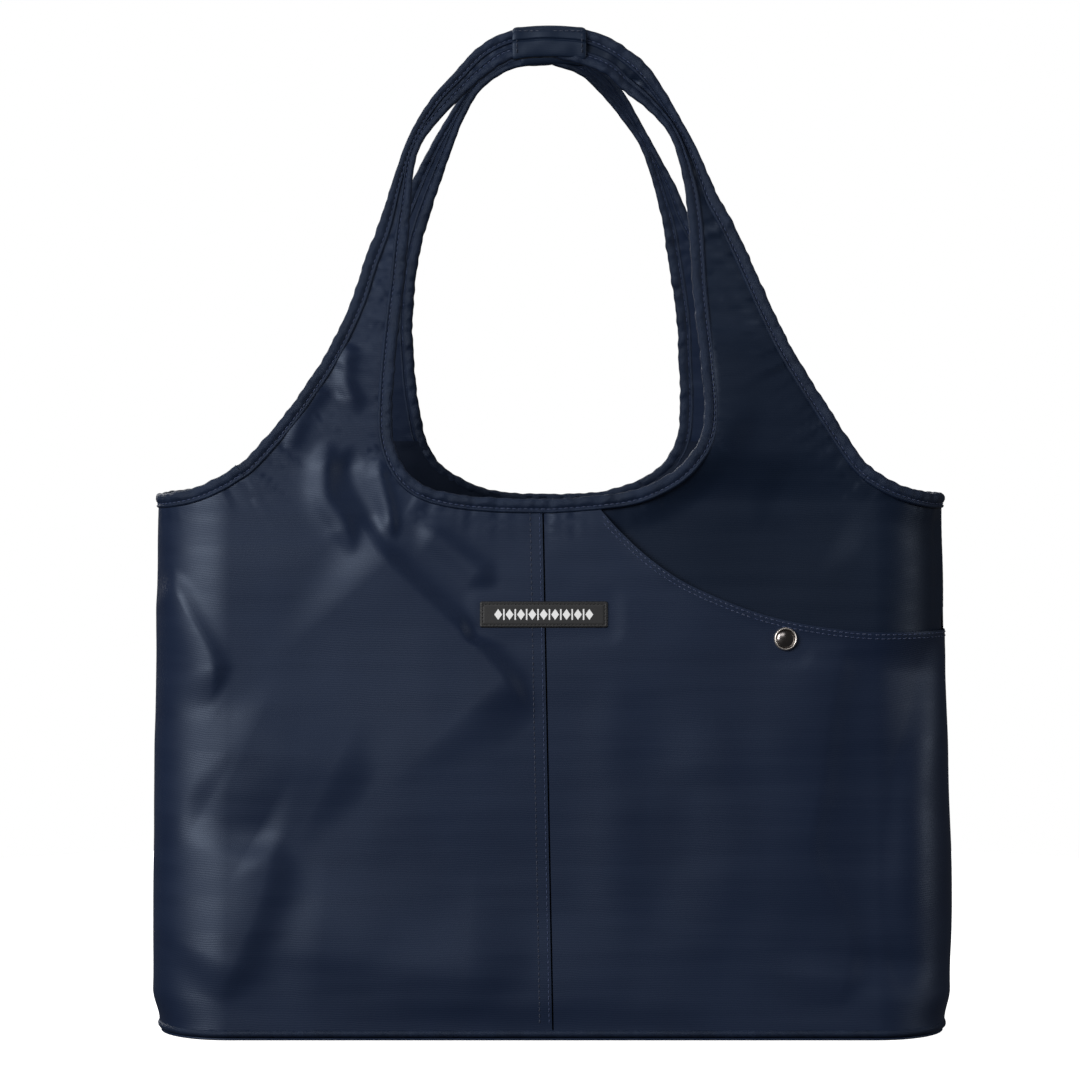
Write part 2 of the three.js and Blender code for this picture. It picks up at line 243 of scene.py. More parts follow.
def nearest(points: Array, line: Array, block: int = 4000) -> tuple[Array, Array]:
    """Finds how far points are from a line.

    Args:
        points: Points on the sheet.
        line: A densely spaced line.
        block: How many points are handled at once.

    Returns:
        The distance of each point, and the run along the line of its nearest spot.
    """
    run = run_along(line)
    distance = np.empty(len(points))
    along = np.empty(len(points))
    for start in range(0, len(points), block):
        part = slice(start, start + block)
        gap = np.linalg.norm(points[part, None] - line[None], axis=2)
        spot = gap.argmin(1)
        distance[part] = gap[np.arange(len(gap)), spot]
        along[part] = run[spot]
    return distance, along


def waves(run: Array, lengths: Sequence[float], seed: int) -> Array:
    """A smooth uneven wave along a line.

    Args:
        run: Distances along the line.
        lengths: Wave lengths that are mixed.
        seed: Seed of the phases.

    Returns:
        Values of about -1 to 1.
    """
    random = np.random.default_rng(seed)
    total = np.zeros_like(run)
    for length in lengths:
        swing = random.uniform(0.6, 1.4)
        total += np.sin(2 * math.pi * run / length + random.uniform(0, 6.28) + swing * np.sin(run / length))
    return total / len(lengths)


# ---------------------------------------------------------------- meshes
def link(name: str, vertices: Array, faces: Sequence[Sequence[int]],
         finish: bpy.types.Material) -> bpy.types.Object:
    """Makes a smooth-shaded object from a mesh.

    Args:
        name: Name of the piece.
        vertices: Points in the row frame.
        faces: Corners of each face.
        finish: Material of the piece.

    Returns:
        The new object.
    """
    mesh = bpy.data.meshes.new(name)
    mesh.from_pydata(np.asarray(vertices).tolist(), [], [list(map(int, face)) for face in faces])
    mesh.update()
    mesh.shade_smooth()
    mesh.materials.append(finish)
    piece = bpy.data.objects.new(name, mesh)
    bpy.context.scene.collection.objects.link(piece)
    log.info("%s: %d faces", name, len(mesh.polygons))
    return piece


def ring_faces(rings: int, each: int) -> list[list[int]]:
    """Faces with four corners between rings of points that follow each other."""
    faces = []
    for ring in range(rings - 1):
        for corner in range(each):
            base, above, following = ring * each, (ring + 1) * each, (corner + 1) % each
            faces.append([base + corner, base + following, above + following, above + corner])
    return faces


def end_faces(rings: int, each: int) -> list[list[int]]:
    """The two faces that close a row of rings at its ends."""
    return [list(range(each))[::-1], [(rings - 1) * each + corner for corner in range(each)]]


def skin_faces(corners: Array, count: int) -> list[Sequence[int]]:
    """Faces of a closed skin whose second layer of points follows the first.

    Args:
        corners: Triangles of the first layer.
        count: How many points one layer has.

    Returns:
        The triangles of both layers and the walls along the rim.
    """
    directed = {(int(f[i]), int(f[(i + 1) % 3])) for f in corners for i in range(3)}
    walls = [(j, i, i + count, j + count) for i, j in sorted(directed) if (j, i) not in directed]
    return [*corners, *(corners[:, ::-1] + count), *walls]


def inside(points: Array, outline: Array) -> Array:
    """Tells which points lie inside a closed outline."""
    x, y = points[:, 0], points[:, 1]
    result = np.zeros(len(points), bool)
    for (x1, y1), (x2, y2) in zip(outline, np.roll(outline, -1, axis=0)):
        crosses = (y1 > y) != (y2 > y)
        if y1 != y2:
            result ^= crosses & (x < (x2 - x1) * (y - y1) / (y2 - y1) + x1)
    return result


ROW_STEP = 0.866
BORDER_GAP = 0.55


def triangulate(outline: Array, spacing: float) -> tuple[Array, list[list[int]]]:
    """Fills an outline with even triangles.

    Args:
        outline: Closed outline with even steps, without a repeated last point.
        spacing: Distance between the inner points.

    Returns:
        The points, the outline's first, and the triangles.
    """
    low, high = outline.min(0), outline.max(0)
    rows = np.arange(low[1], high[1], spacing * ROW_STEP)
    columns = np.arange(low[0], high[0], spacing)
    grid = [np.stack([columns + spacing / 2 * (row % 2), np.full(len(columns), y)], 1)
            for row, y in enumerate(rows)]
    lattice = np.vstack(grid)
    lattice = lattice[inside(lattice, outline)]
    border = np.vstack([outline, (outline + np.roll(outline, -1, axis=0)) / 2])
    lattice = lattice[nearest(lattice, border)[0] > spacing * BORDER_GAP]
    points = np.vstack([outline, lattice])
    count = len(outline)
    edges = [(index, (index + 1) % count) for index in range(count)]
    result = delaunay_2d_cdt([Vector(point) for point in points], edges, [], 1, 1e-8)
    found = np.array([list(vertex) for vertex in result[0]])
    return found, [list(face) for face in result[2] if len(face) == 3]


def joined(*lines: Array, spacing: float, touching: float = 0.05 * MM) -> Array:
    """One closed outline from lines that follow each other, evenly spaced line by line."""
    parts = []
    for line, following in zip(lines, [*lines[1:], lines[0]]):
        parts.append(even(line, spacing)[:-1])
        gap = np.array([line[-1], following[0]])
        if np.linalg.norm(gap[1] - gap[0]) > touching:
            parts.append(even(gap, spacing)[:-1])
    return np.vstack(parts)


@dataclass
class Sheet:
    """A piece of cloth drawn flat and bent round one half of the bag."""

    half: Half
    relief: Relief
    thickness: float = BODY.cloth
    step: float = 0.4 * MM

    def normals(self, across: Array, up: Array) -> Array:
        """Outward normals of the cloth, from the surface itself, so that neighbours agree."""
        step = self.step
        here = [self.half.place(across + i, up + j, self.relief(across + i, up + j))
                for i, j in ((step, 0), (-step, 0), (0, step), (0, -step))]
        normal = np.cross(here[0] - here[1], here[2] - here[3]) * -self.half.value
        return normal / np.linalg.norm(normal, axis=1, keepdims=True)

    def build(self, name: str, outline: Array, spacing: float,
              finish: bpy.types.Material) -> bpy.types.Object:
        """Cuts the cloth along an outline and gives it its thickness.

        Args:
            name: Name of the piece.
            outline: Closed outline with even steps.
            spacing: Distance between the cloth's points.
            finish: Material of the piece.

        Returns:
            A closed piece whose outer face is smooth across its borders.
        """
        flat, faces = triangulate(outline, spacing)
        across, up = flat[:, 0], flat[:, 1]
        out = self.relief(across, up)
        outer = self.half.place(across, up, out)
        normal = self.normals(across, up)
        inner = outer - normal * self.thickness
        corners = np.array(faces)
        a, b, c = (outer[corners[:, i]] for i in range(3))
        facing = (np.cross(b - a, c - a) * normal[corners[:, 0]]).sum(1)
        corners[facing < 0] = corners[facing < 0][:, ::-1]
        piece = link(name, np.vstack([outer, inner]), skin_faces(corners, len(flat)), finish)
        piece.data.normals_split_custom_set_from_vertices(np.vstack([normal, -normal]).tolist())
        return piece


def lay_flat(piece: bpy.types.Object, half: Half, body: str | None = None) -> None:
    """Lets a piece ride on its half, with a mesh of its own.

    Args:
        piece: The piece.
        half: The half that it belongs to.
        body: Body that it rides on, where that isn't the half's own.
    """
    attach(piece, body or half.body)
    half.outward
    BODY.keep
    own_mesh(piece)


def bend_with_handle(piece: bpy.types.Object, half: Half, reach: float = 17 * MM) -> None:
    """Bakes a piece's transform into its mesh; it doesn't bend with the handle."""
    level = half.value * (BODY.half_depth - BODY.slope * BODY.crease)
    start = (0, level, BODY.crease - reach)
    BODY.crease + reach
    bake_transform(piece)


@dataclass
class Row:
    """A row of stitches of round thread along a line of a sheet."""

    length: float = 2.3 * MM
    pitch: float = 3.1 * MM
    radius: float = 0.24 * MM
    spread: float = 1.25
    corners: int = 6

    RINGS = ((-0.5, 0.15, -0.5), (-0.36, 0.8, -0.05), (0.0, 1.0, 0.35), (0.36, 0.8, -0.05), (0.5, 0.15, -0.5))

    def mesh(self, half: Half, line: Array, lift: Relief) -> tuple[Array, list[list[int]]]:
        """Lays the stitches along a line.

        Args:
            half: The half of the bag.
            line: The line on the sheet.
            lift: Height of the thread's middle above the sheet.

        Returns:
            The vertices and faces of all stitches.
        """
        steps = even(line, self.pitch)
        middle = (steps[1:] + steps[:-1]) / 2
        heading = steps[1:] - steps[:-1]
        heading /= np.linalg.norm(heading, axis=1, keepdims=True)
        half_stitch = heading * self.length / 2
        ends = []
        for side in (-1, 1):
            spots = (middle + side * half_stitch).T
            ends.append(half.place(*spots, lift(*spots)))
        top = half.place(*middle.T, lift(*middle.T) + 1 * MM)
        centre = half.place(*middle.T, lift(*middle.T))
        along = ends[1] - ends[0]
        along /= np.linalg.norm(along, axis=1, keepdims=True)
        outward = top - centre
        outward /= np.linalg.norm(outward, axis=1, keepdims=True)
        sideways = np.cross(along, outward)
        vertices = []
        for run, girth, rise in self.RINGS:
            for corner in range(self.corners):
                angle = 2 * math.pi * corner / self.corners
                out = outward * self.radius * (rise + girth * math.sin(angle))
                aside = sideways * self.radius * self.spread * girth * math.cos(angle)
                vertices.append(centre + along * self.length * run + out + aside)
        stacked = np.stack(vertices, 1)
        each = stacked.shape[1]
        rings = len(self.RINGS)
        single = ring_faces(rings, self.corners) + end_faces(rings, self.corners)
        faces = [[index * each + v for v in face] for index in range(len(stacked)) for face in single]
        return stacked.reshape(-1, 3), faces


def thread(name: str, half: Half, lines: Iterable[Array], lift: Relief, finish: bpy.types.Material,
           row: Row = Row()) -> bpy.types.Object:
    """Makes one piece of all the stitches along some lines.

    Args:
        name: Name of the piece.
        half: The half of the bag.
        lines: Lines on the sheet.
        lift: Height of the thread's middle above the sheet.
        finish: Material of the thread.
        row: Size and spacing of the stitches.

    Returns:
        The thread's object.
    """
    vertices, faces, base = [], [], 0
    for line in lines:
        points, corners = row.mesh(half, line, lift)
        vertices.append(points)
        faces += [[v + base for v in face] for face in corners]
        base += len(points)
    return link(name, np.vstack(vertices), faces, finish)


@dataclass
class Tape:
    """A folded edge tape: a puffy roll along the edge, a stitched groove and a flat inner margin."""

    half: Half
    relief: Relief
    seed: int
    thickness: float = 2.1 * MM
    groove: float = 0.4
    sink: float = 0.5 * MM

    PROFILE = ((-1.0, 0.0), (-0.97, 0.5), (-0.84, 0.84), (-0.55, 1.0), (-0.2, 1.0), (0.1, 0.86), (0.3, 0.56),
               (0.4, 0.42), (0.5, 0.5), (0.64, 0.78), (0.8, 0.74), (0.94, 0.42), (1.0, 0.0))

    def build(self, name: str, line: Array, width: Array, finish: bpy.types.Material) -> bpy.types.Object:
        """Sweeps the tape along its middle line.

        Args:
            name: Name of the piece.
            line: Middle line on the sheet; the cloth lies to its left.
            width: Width of the tape at each point.
            finish: Material of the tape.

        Returns:
            The closed tape.
        """
        run = run_along(line)
        side = normals_of(line)
        centre = self.relief(*line.T) - self.sink
        back = [(b, -o) for b, o in self.PROFILE[-2:0:-1]]
        rings = []
        loose = 0.4 + 0.6 * smooth(width, 5 * MM, 8 * MM)
        swell = 1 + 0.27 * loose * waves(run, (8 * MM, 13 * MM, 29 * MM), self.seed)
        edge = 0.4 * MM * loose * waves(run, (7 * MM, 11 * MM, 23 * MM), self.seed + 1)
        for b, o in [*self.PROFILE, *back]:
            crinkle = 0.34 * MM * waves(run + b * 2.6 * MM, (4.6 * MM, 7.4 * MM, 12 * MM), self.seed + 2)
            shift = b * width / 2 - edge * (1 - b) / 2
            roll = math.exp(-((b + 0.4) / 0.55) ** 2)
            rise = self.thickness * o * (1 + (swell - 1) * roll)
            height = rise + np.sign(o) * crinkle * roll * (abs(o) > 0.3)
            spot = line + side * shift[:, None]
            rings.append(self.half.place(spot[:, 0], spot[:, 1], centre + height))
        grid = np.stack(rings, 1)
        faces = ring_faces(*grid.shape[:2]) + end_faces(*grid.shape[:2])
        if self.half is Half.BACK:
            faces = [face[::-1] for face in faces]
        return link(name, grid.reshape(-1, 3), faces, finish)

    def stitch_line(self, line: Array, width: Array) -> Array:
        """The line of the groove, for the stitches."""
        return line + normals_of(line) * (self.groove * width / 2)[:, None]

    def stitch_lift(self, across: Array, up: Array) -> Array:
        """Height of the thread in the outer groove."""
        return self.relief(across, up) - self.sink + self.thickness * 0.5

    def inner_lift(self, across: Array, up: Array) -> Array:
        """Height of the thread in the groove on the inner side."""
        return self.relief(across, up) - self.sink - self.thickness * 0.5


# ---------------------------------------------------------------- the outlines of a half
def bend_edge(line: Array, level: float, below: bool) -> Array:
    """Cuts a line at a height.

    Args:
        line: A line that crosses the height once.
        level: The height.
        below: Whether the part below is kept, or the part above.

    Returns:
        The kept part, which ends or starts exactly on the height.
    """
    kept = line[:, 1] < level if below else line[:, 1] > level
    change = int(np.flatnonzero(kept[1:] != kept[:-1])[0])
    a, b = line[change], line[change + 1]
    spot = a + (b - a) * (level - a[1]) / (b[1] - a[1])
    part = line[kept]
    return np.vstack([part, spot]) if kept[0] else np.vstack([spot, part])


@dataclass
class Outline:
    """The edges of one half, each with the cloth to the left of its direction."""

    outer_right: Pairs
    outer_left: Pairs
    inner_right: Pairs
    inner_left: Pairs
    arm_level: float = 318 * MM
    tape: float = 8 * MM
    narrow: float = 5 * MM
    share: float = 0.46
    hidden: float = 1.2 * MM

    def __post_init__(self) -> None:
        """Draws the smooth lines."""
        self.armhole_right = spline(self.outer_right, 1 * MM)
        self.armhole_left = spline(self.outer_left, 1 * MM)[::-1]
        self.neck_right = spline(self.inner_right, 1 * MM)[::-1]
        self.neck_left = spline(self.inner_left, 1 * MM)
        self.neck = np.vstack([self.neck_right[:-1], self.neck_left])
        turn = np.linspace(0, 1, 60)
        run = BODY.flat_half + turn * (BODY.side_fold(BODY.rim) - BODY.flat_half)
        corner = even(np.stack([run, self.rim_height(run)], 1), 1 * MM)[::-1]
        self.rim_right = np.vstack([corner[:-1], self.armhole_right[:5]])
        self.rim_left = (self.rim_right * (-1, 1))[::-1]

    @staticmethod
    def rim_height(across: Array) -> Array:
        """Height of the side rims, which sink round the corners."""
        turn = np.clip((np.abs(across) - BODY.flat_half) / BODY.corner, 0, math.pi / 2)
        return BODY.rim + BODY.rim_lift * (1 - np.sin(turn)) ** 2

    def tape_width(self, line: Array) -> Array:
        """Width of the tape along a line, less where the arm is narrow."""
        if np.ptp(line[:, 1]) < 40 * MM:
            return np.full(len(line), self.tape)
        armholes = np.vstack([self.armhole_left, self.armhole_right])
        other = armholes if np.abs(line[:, 0]).max() < 0.12 else self.neck
        room, _ = nearest(line, other)
        width = np.clip(self.share * room, self.narrow, self.tape)
        return np.convolve(np.pad(width, 12, mode="edge"), np.ones(25) / 25, mode="valid")

    def edge(self, line: Array) -> Array:
        """The cloth's own edge, which lies inside the tape."""
        return beside(line, self.hidden)

    def arm(self, right: bool) -> list[Array]:
        """The two edges of one arm above the body, in order."""
        outer = self.edge(self.armhole_right if right else self.armhole_left)
        inner = self.edge(self.neck_right if right else self.neck_left)
        outer = bend_edge(outer, self.arm_level, below=False)
        inner = bend_edge(inner, self.arm_level, below=False)
        return [outer, inner] if right else [inner, outer]

    def neck_end(self, across: float, right: bool) -> Array:
        """The neckline's edge from a place across up to the arm's foot."""
        line = self.edge(self.neck_right if right else self.neck_left)
        line = bend_edge(line, self.arm_level, below=True)
        return line[line[:, 0] > across] if right else line[line[:, 0] < across]


FRONT_OUTLINE = Outline(
    outer_right=((173, 303.5), (165, 312), (150, 335), (127, 373), (101, 430), (89, 453), (79, 476),
                 (66, 500), (54, 519), (43, 529.5), (31, 537), (18, 541.5), (0, 542.5)),
    outer_left=((-173, 303.5), (-164, 310), (-144, 333), (-128, 356), (-118, 373), (-108, 395),
                (-101, 417), (-93, 438), (-79, 480), (-66, 503), (-52, 519), (-38.6, 533), (-20, 541.5),
                (0, 542.5)),
    inner_right=((0, 288), (26, 290), (45, 293), (61, 300), (72, 309), (79.5, 321), (81.7, 336),
                 (79.7, 363), (76, 398), (74, 430), (72.9, 443), (71.5, 455), (68.5, 470), (62.5, 486),
                 (51, 498.6), (38, 509), (25, 519), (0, 526.5)),
    inner_left=((0, 288), (-30, 288.6), (-54, 291), (-70, 296), (-80, 306), (-85.5, 322), (-85.5, 345),
                (-83, 375), (-79, 410), (-76.5, 440), (-74.5, 466), (-70, 480), (-62, 491), (-50.5, 503),
                (-38, 514.5), (-22, 525), (0, 526.5)),
)
BACK_OUTLINE = Outline(
    outer_right=((173, 303.5), (164, 310), (147, 334), (122, 373), (103, 403), (87, 427), (75.6, 446),
                 (68.7, 461), (60.3, 476), (49.7, 495), (39, 513), (28, 525), (14, 534), (0, 537)),
    outer_left=((-173, 303.5), (-164, 310), (-147, 334), (-122, 373), (-105, 405), (-88, 440), (-75, 468),
                (-62.3, 491), (-45, 517), (-27, 531), (-12, 536), (0, 537)),
    inner_right=((0, 288), (30, 290), (56, 300), (69, 316), (72, 337), (71, 365), (69.7, 388),
                 (64.6, 421), (60.4, 446), (50.8, 478), (39, 496.6), (24, 514), (13.8, 522), (0, 526.5)),
    inner_left=((0, 288), (-32, 290), (-56, 300), (-69, 315), (-75, 342), (-77, 364), (-77.7, 385),
                (-74.8, 416), (-69, 440), (-57.3, 475), (-48.3, 498), (-38, 514), (-21, 524.5),
                (0, 526.5)),
)


# ---------------------------------------------------------------- folds in the cloth
def smooth(value: Array, low: float, high: float) -> Array:
    """Smooth step from 0 at low to 1 at high."""
    t = np.clip((value - low) / (high - low), 0, 1)
    return t * t * (3 - 2 * t)


@dataclass(frozen=True)
class Fold:
    """A ridge or, with a negative rise, a valley along a line; sizes in millimetres."""

    path: Pairs
    rise: float
    left: float
    right: float
    fade: float = 0.25

    def height(self, points: Array) -> Array:
        """Height that the fold adds at points of the sheet."""
        line = spline(self.path, 3 * MM)
        chord = line[-1] - line[0]
        reach = 2.6 * max(self.left, self.right) * MM
        low, high = line.min(0) - reach, line.max(0) + reach
        near = np.flatnonzero(((points > low) & (points < high)).all(1))
        total = np.zeros(len(points))
        if not len(near):
            return total
        spots = points[near]
        best = np.full(len(spots), 1e9)
        signed = np.zeros(len(spots))
        for start, end in zip(line, line[1:]):
            step = end - start
            t = np.clip((spots - start) @ step / (step @ step), 0, 1)
            gap = spots - start - t[:, None] * step
            distance = np.hypot(gap[:, 0], gap[:, 1])
            closer = distance < best
            best = np.where(closer, distance, best)
            side = np.sign(step[0] * gap[:, 1] - step[1] * gap[:, 0])
            signed = np.where(closer, distance * side, signed)
        share = np.clip((spots - line[0]) @ chord / (chord @ chord), 0, 1)
        ends = smooth(share, 0, self.fade) * smooth(1 - share, 0, self.fade)
        width = np.where(signed > 0, self.left, self.right) * MM * (0.55 + 0.45 * ends)
        total[near] = self.rise * MM * ends * np.exp(-((signed / width) ** 2))
        return total


@dataclass(frozen=True)
class Noise:
    """Smooth random hills on a grid of knots."""

    cell: float
    stretch: float
    seed: int
    knots: int = 64
    start: tuple[float, float] = (20.37, 3.71)

    def __call__(self, across: Array, up: Array) -> Array:
        """Height of about -1 to 1 at points of the sheet."""
        grid = np.random.default_rng(self.seed).uniform(-1, 1, (self.knots, self.knots))
        x = across / (self.cell * self.stretch) + self.start[0]
        y = up / self.cell + self.start[1]
        i, j = np.floor(x).astype(int), np.floor(y).astype(int)
        s, t = x - i, y - j
        s, t = s * s * s * (s * (6 * s - 15) + 10), t * t * t * (t * (6 * t - 15) + 10)
        i2, j2 = (i + 1) % self.knots, (j + 1) % self.knots
        i, j = i % self.knots, j % self.knots
        a, b = grid[i, j], grid[i2, j]
        c, d = grid[i, j2], grid[i2, j2]
        return (a + (b - a) * s) * (1 - t) + (c + (d - c) * s) * t


@dataclass
class Pucker:
    """Short gathers that run away from a sewn line."""

    line: Array
    rise: float
    reach: float
    seed: int
    lengths: tuple[float, ...] = (8 * MM, 13 * MM, 21 * MM)

    def height(self, points: Array) -> Array:
        """Height that the gathers add at points of the sheet."""
        low, high = self.line.min(0) - 2.5 * self.reach, self.line.max(0) + 2.5 * self.reach
        near = np.flatnonzero(((points > low) & (points < high)).all(1))
        total = np.zeros(len(points))
        if not len(near):
            return total
        distance, along = nearest(points[near], self.line)
        wave = waves(along, self.lengths, self.seed)
        uneven = 0.6 + 0.4 * waves(along, (37 * MM, 61 * MM), self.seed + 9)
        amount = np.exp(-((distance / self.reach) ** 1.5)) * uneven
        total[near] = self.rise * wave * amount
        return total


@dataclass
class Drape:
    """How one half's cloth stands out of its sheet."""

    folds: Sequence[Fold]
    puckers: Sequence[Pucker]
    seed: int
    calm: Sequence[tuple[float, float, float, float]] = ()
    hills: float = 1.5 * MM
    belly: float = 3.4 * MM

    def __call__(self, across: Array, up: Array) -> Array:
        """Height of the cloth's outer face at points of the sheet."""
        across, up = np.atleast_1d(np.asarray(across, float)), np.atleast_1d(np.asarray(up, float))
        points = np.stack([across, up], 1)
        total = sum(fold.height(points) for fold in self.folds) + np.zeros(len(points))
        body = 1 - smooth(up, 300 * MM, 345 * MM)
        large = Noise(62 * MM, 1.3, self.seed)(across, up)
        noise = large + 0.22 * Noise(24 * MM, 1.3, self.seed + 1)(across, up)
        total += self.hills * noise * (0.25 + 0.75 * body)
        total += sum(pucker.height(points) for pucker in self.puckers)
        level = np.where(across < 0, 1.0, smooth(BODY.rim - up, 0, 90 * MM))
        total += self.belly * level * smooth(np.abs(across), 182 * MM, 226 * MM)
        for x, z, width, height in self.calm:
            beside_it = np.maximum(np.abs(across - x) - width / 2, 0)
            above_it = np.maximum(np.abs(up - z) - height / 2, 0)
            total *= smooth(np.hypot(beside_it, above_it), 1 * MM, 11 * MM)
        edge = BODY.side_fold(up) - np.abs(across)
        return total * smooth(edge, 0, 30 * MM) * smooth(up, BODY.foot - 1 * MM, BODY.foot + 16 * MM)


# ---------------------------------------------------------------- finishes
Number = float | int
Colour = tuple[float, float, float]


@dataclass(frozen=True)
class Wire:
    """A socket of a node tree that takes part in sums."""

    nodes: "Nodes"
    socket: bpy.types.NodeSocket

    def _math(self, operation: str, *values: "Wire | Number") -> "Wire":
        """Adds one Math node."""
        return self.nodes.node("ShaderNodeMath", {"operation": operation}, dict(enumerate(values)))

    def __add__(self, other: "Wire | Number") -> "Wire":
        """Sum."""
        return self._math("ADD", self, other)

    __radd__ = __add__

    def __mul__(self, other: "Wire | Number") -> "Wire":
        """Product."""
        return self._math("MULTIPLY", self, other)

    __rmul__ = __mul__

    def __sub__(self, other: "Wire | Number") -> "Wire":
        """Difference."""
        return self._math("SUBTRACT", self, other)

    def __rsub__(self, other: Number) -> "Wire":
        """Difference from a number."""
        return self._math("SUBTRACT", other, self)

    def __truediv__(self, other: "Wire | Number") -> "Wire":
        """Quotient."""
        return self._math("DIVIDE", self, other)

    def sine(self) -> "Wire":
        """Sine."""
        return self._math("SINE", self)

    def step(self, low: float, high: float) -> "Wire":
        """Smooth step from 0 at low to 1 at high."""
        values = {"Value": self, "From Min": low, "From Max": high}
        return self.nodes.node("ShaderNodeMapRange", {"interpolation_type": "SMOOTHSTEP"}, values)


class Nodes:
    """A node tree in the making."""

    def __init__(self, tree: bpy.types.NodeTree) -> None:
        """Takes the tree that nodes are added to."""
        self.tree = tree

    def node(self, kind: str, settings: dict | None = None, values: dict | None = None,
             output: int | str = 0) -> Wire:
        """Adds any node.

        Args:
            kind: The node's type.
            settings: Its own settings, set first.
            values: Numbers, colours or wires for its inputs.
            output: Which output is wanted.

        Returns:
            The wanted output.
        """
        made = self.tree.nodes.new(kind)
        for key, value in (settings or {}).items():
            setattr(made, key, value)
        for key, value in (values or {}).items():
            self.feed(made.inputs[key], value)
        return Wire(self, made.outputs[output])

    def feed(self, socket: bpy.types.NodeSocket, value: "Wire | Number | tuple") -> None:
        """Links a wire to a socket, or sets its value."""
        if isinstance(value, Wire):
            self.tree.links.new(value.socket, socket)
        elif socket.type == "RGBA":
            socket.default_value = (*value[:3], 1)
        else:
            socket.default_value = value


class Shader(Nodes):
    """One material in the making."""

    def __init__(self, name: str) -> None:
        """Starts an empty material with a Principled surface."""
        self.material = bpy.data.materials.new(name)
        self.material.use_nodes = True
        super().__init__(self.material.node_tree)
        self.surface = self.tree.nodes["Principled BSDF"]

    def dress(self, **values: "Wire | Number | tuple") -> bpy.types.Material:
        """Fills the surface's sockets, named with underscores, and returns the material."""
        for key, value in values.items():
            self.feed(self.surface.inputs[key.replace("_", " ")], value)
        return self.material

    def place(self) -> Wire:
        """Coordinates of the surface in metres."""
        return self.node("ShaderNodeTexCoord", output="Object")

    def parts(self, vector: Wire) -> tuple[Wire, Wire, Wire]:
        """The three parts of a vector."""
        made = self.node("ShaderNodeSeparateXYZ", values={0: vector}).socket.node
        return tuple(Wire(self, made.outputs[index]) for index in range(3))

    def noise(self, vector: Wire, scale: float, detail: float = 3.0, stretch: Colour = (1, 1, 1)) -> Wire:
        """Soft noise of 0 to 1 with a number of hills per metre."""
        moved = self.node("ShaderNodeVectorMath", {"operation": "MULTIPLY"}, {0: vector, 1: stretch})
        return self.node("ShaderNodeTexNoise", {}, {"Vector": moved, "Scale": scale, "Detail": detail}, "Fac")

    def mix(self, share: Wire | Number, first: Colour | Wire, second: Colour | Wire) -> Wire:
        """Mixes two colours."""
        return self.node("ShaderNodeMix", {"data_type": "RGBA"}, {"Factor": share, 6: first, 7: second}, 2)

    def bump(self, height: Wire, distance: float) -> Wire:
        """Raises the surface by a height of 0 to 1 times a distance."""
        values = {"Height": height, "Distance": distance, "Strength": 1.0}
        return self.node("ShaderNodeBump", {}, values, "Normal")


TURN = 2 * math.pi
COOL = (0.68, 0.8, 1.0)


@dataclass(frozen=True)
class Ribbed:
    """Smooth dense nylon with fine uneven ribs."""

    name: str
    colour: Colour
    light: Colour
    roughness: float = 0.46
    pitch: float = 0.95 * MM
    weft: float = 0.42 * MM
    height: float = 0.03 * MM
    specular: float = 0.36

    def make(self) -> bpy.types.Material:
        """Makes the material."""
        shader = Shader(self.name)
        place = shader.place()
        x, y, z = shader.parts(place)
        sway = shader.noise(place, 45, 2) * 5.5
        fine = shader.noise(place, 520, 2, (0.35, 0.35, 1))
        level = (z + y * 0.35) / self.pitch * TURN
        rib = (level + sway * 3 + fine * 3.2).sine() * 0.5 + 0.5
        weft = ((x + y * 0.8) / self.weft * TURN).sine() * 0.5 + 0.5
        cloud = shader.noise(place, 14, 4)
        streak = shader.noise(place, 60, 3, (1, 1, 0.12))
        band = shader.noise(place, 95, 2, (0.06, 0.06, 1)).step(0.35, 0.65)
        share = cloud.step(0.3, 0.75) * 0.35 + rib * 0.25 + streak * 0.28 + band * 0.12
        tone = shader.mix(share, self.colour, self.light)
        rough = self.roughness + cloud * 0.08 - 0.06 + (1 - rib) * 0.05 + band * 0.06
        crease = shader.noise(place, 160, 4) * 0.35
        normal = shader.bump(rib * 0.75 + weft * 0.12 + crease, self.height)
        return shader.dress(
            Base_Color=tone, Roughness=rough, Normal=normal, Sheen_Weight=0.02, Sheen_Roughness=0.35,
            Sheen_Tint=self.light, Specular_IOR_Level=self.specular, Specular_Tint=COOL,
        )


@dataclass(frozen=True)
class Grosgrain:
    """Soft folded tape with fine cross threads."""

    name: str
    colour: Colour
    light: Colour
    roughness: float = 0.52
    thread: float = 0.55 * MM

    def make(self) -> bpy.types.Material:
        """Makes the material."""
        shader = Shader(self.name)
        place = shader.place()
        x, y, z = shader.parts(place)
        wander = shader.noise(place, 260, 2)
        first = ((x + z) / self.thread * TURN + wander * 5).sine() * 0.5 + 0.5
        second = ((z - x + y) / self.thread * TURN + wander * 5).sine() * 0.5 + 0.5
        cloud = shader.noise(place, 55, 4)
        tone = shader.mix(cloud.step(0.25, 0.75) * 0.7 + first * second * 0.3, self.colour, self.light)
        rough = self.roughness + cloud * 0.14 - 0.07 + first * 0.05
        wrinkle = shader.noise(place, 300, 4)
        normal = shader.bump(first * 0.35 + second * 0.35 + wrinkle * 1.2, 0.12 * MM)
        return shader.dress(
            Base_Color=tone, Roughness=rough, Normal=normal, Sheen_Weight=0.02, Sheen_Roughness=0.4,
            Sheen_Tint=self.light, Specular_IOR_Level=0.32, Specular_Tint=COOL,
        )


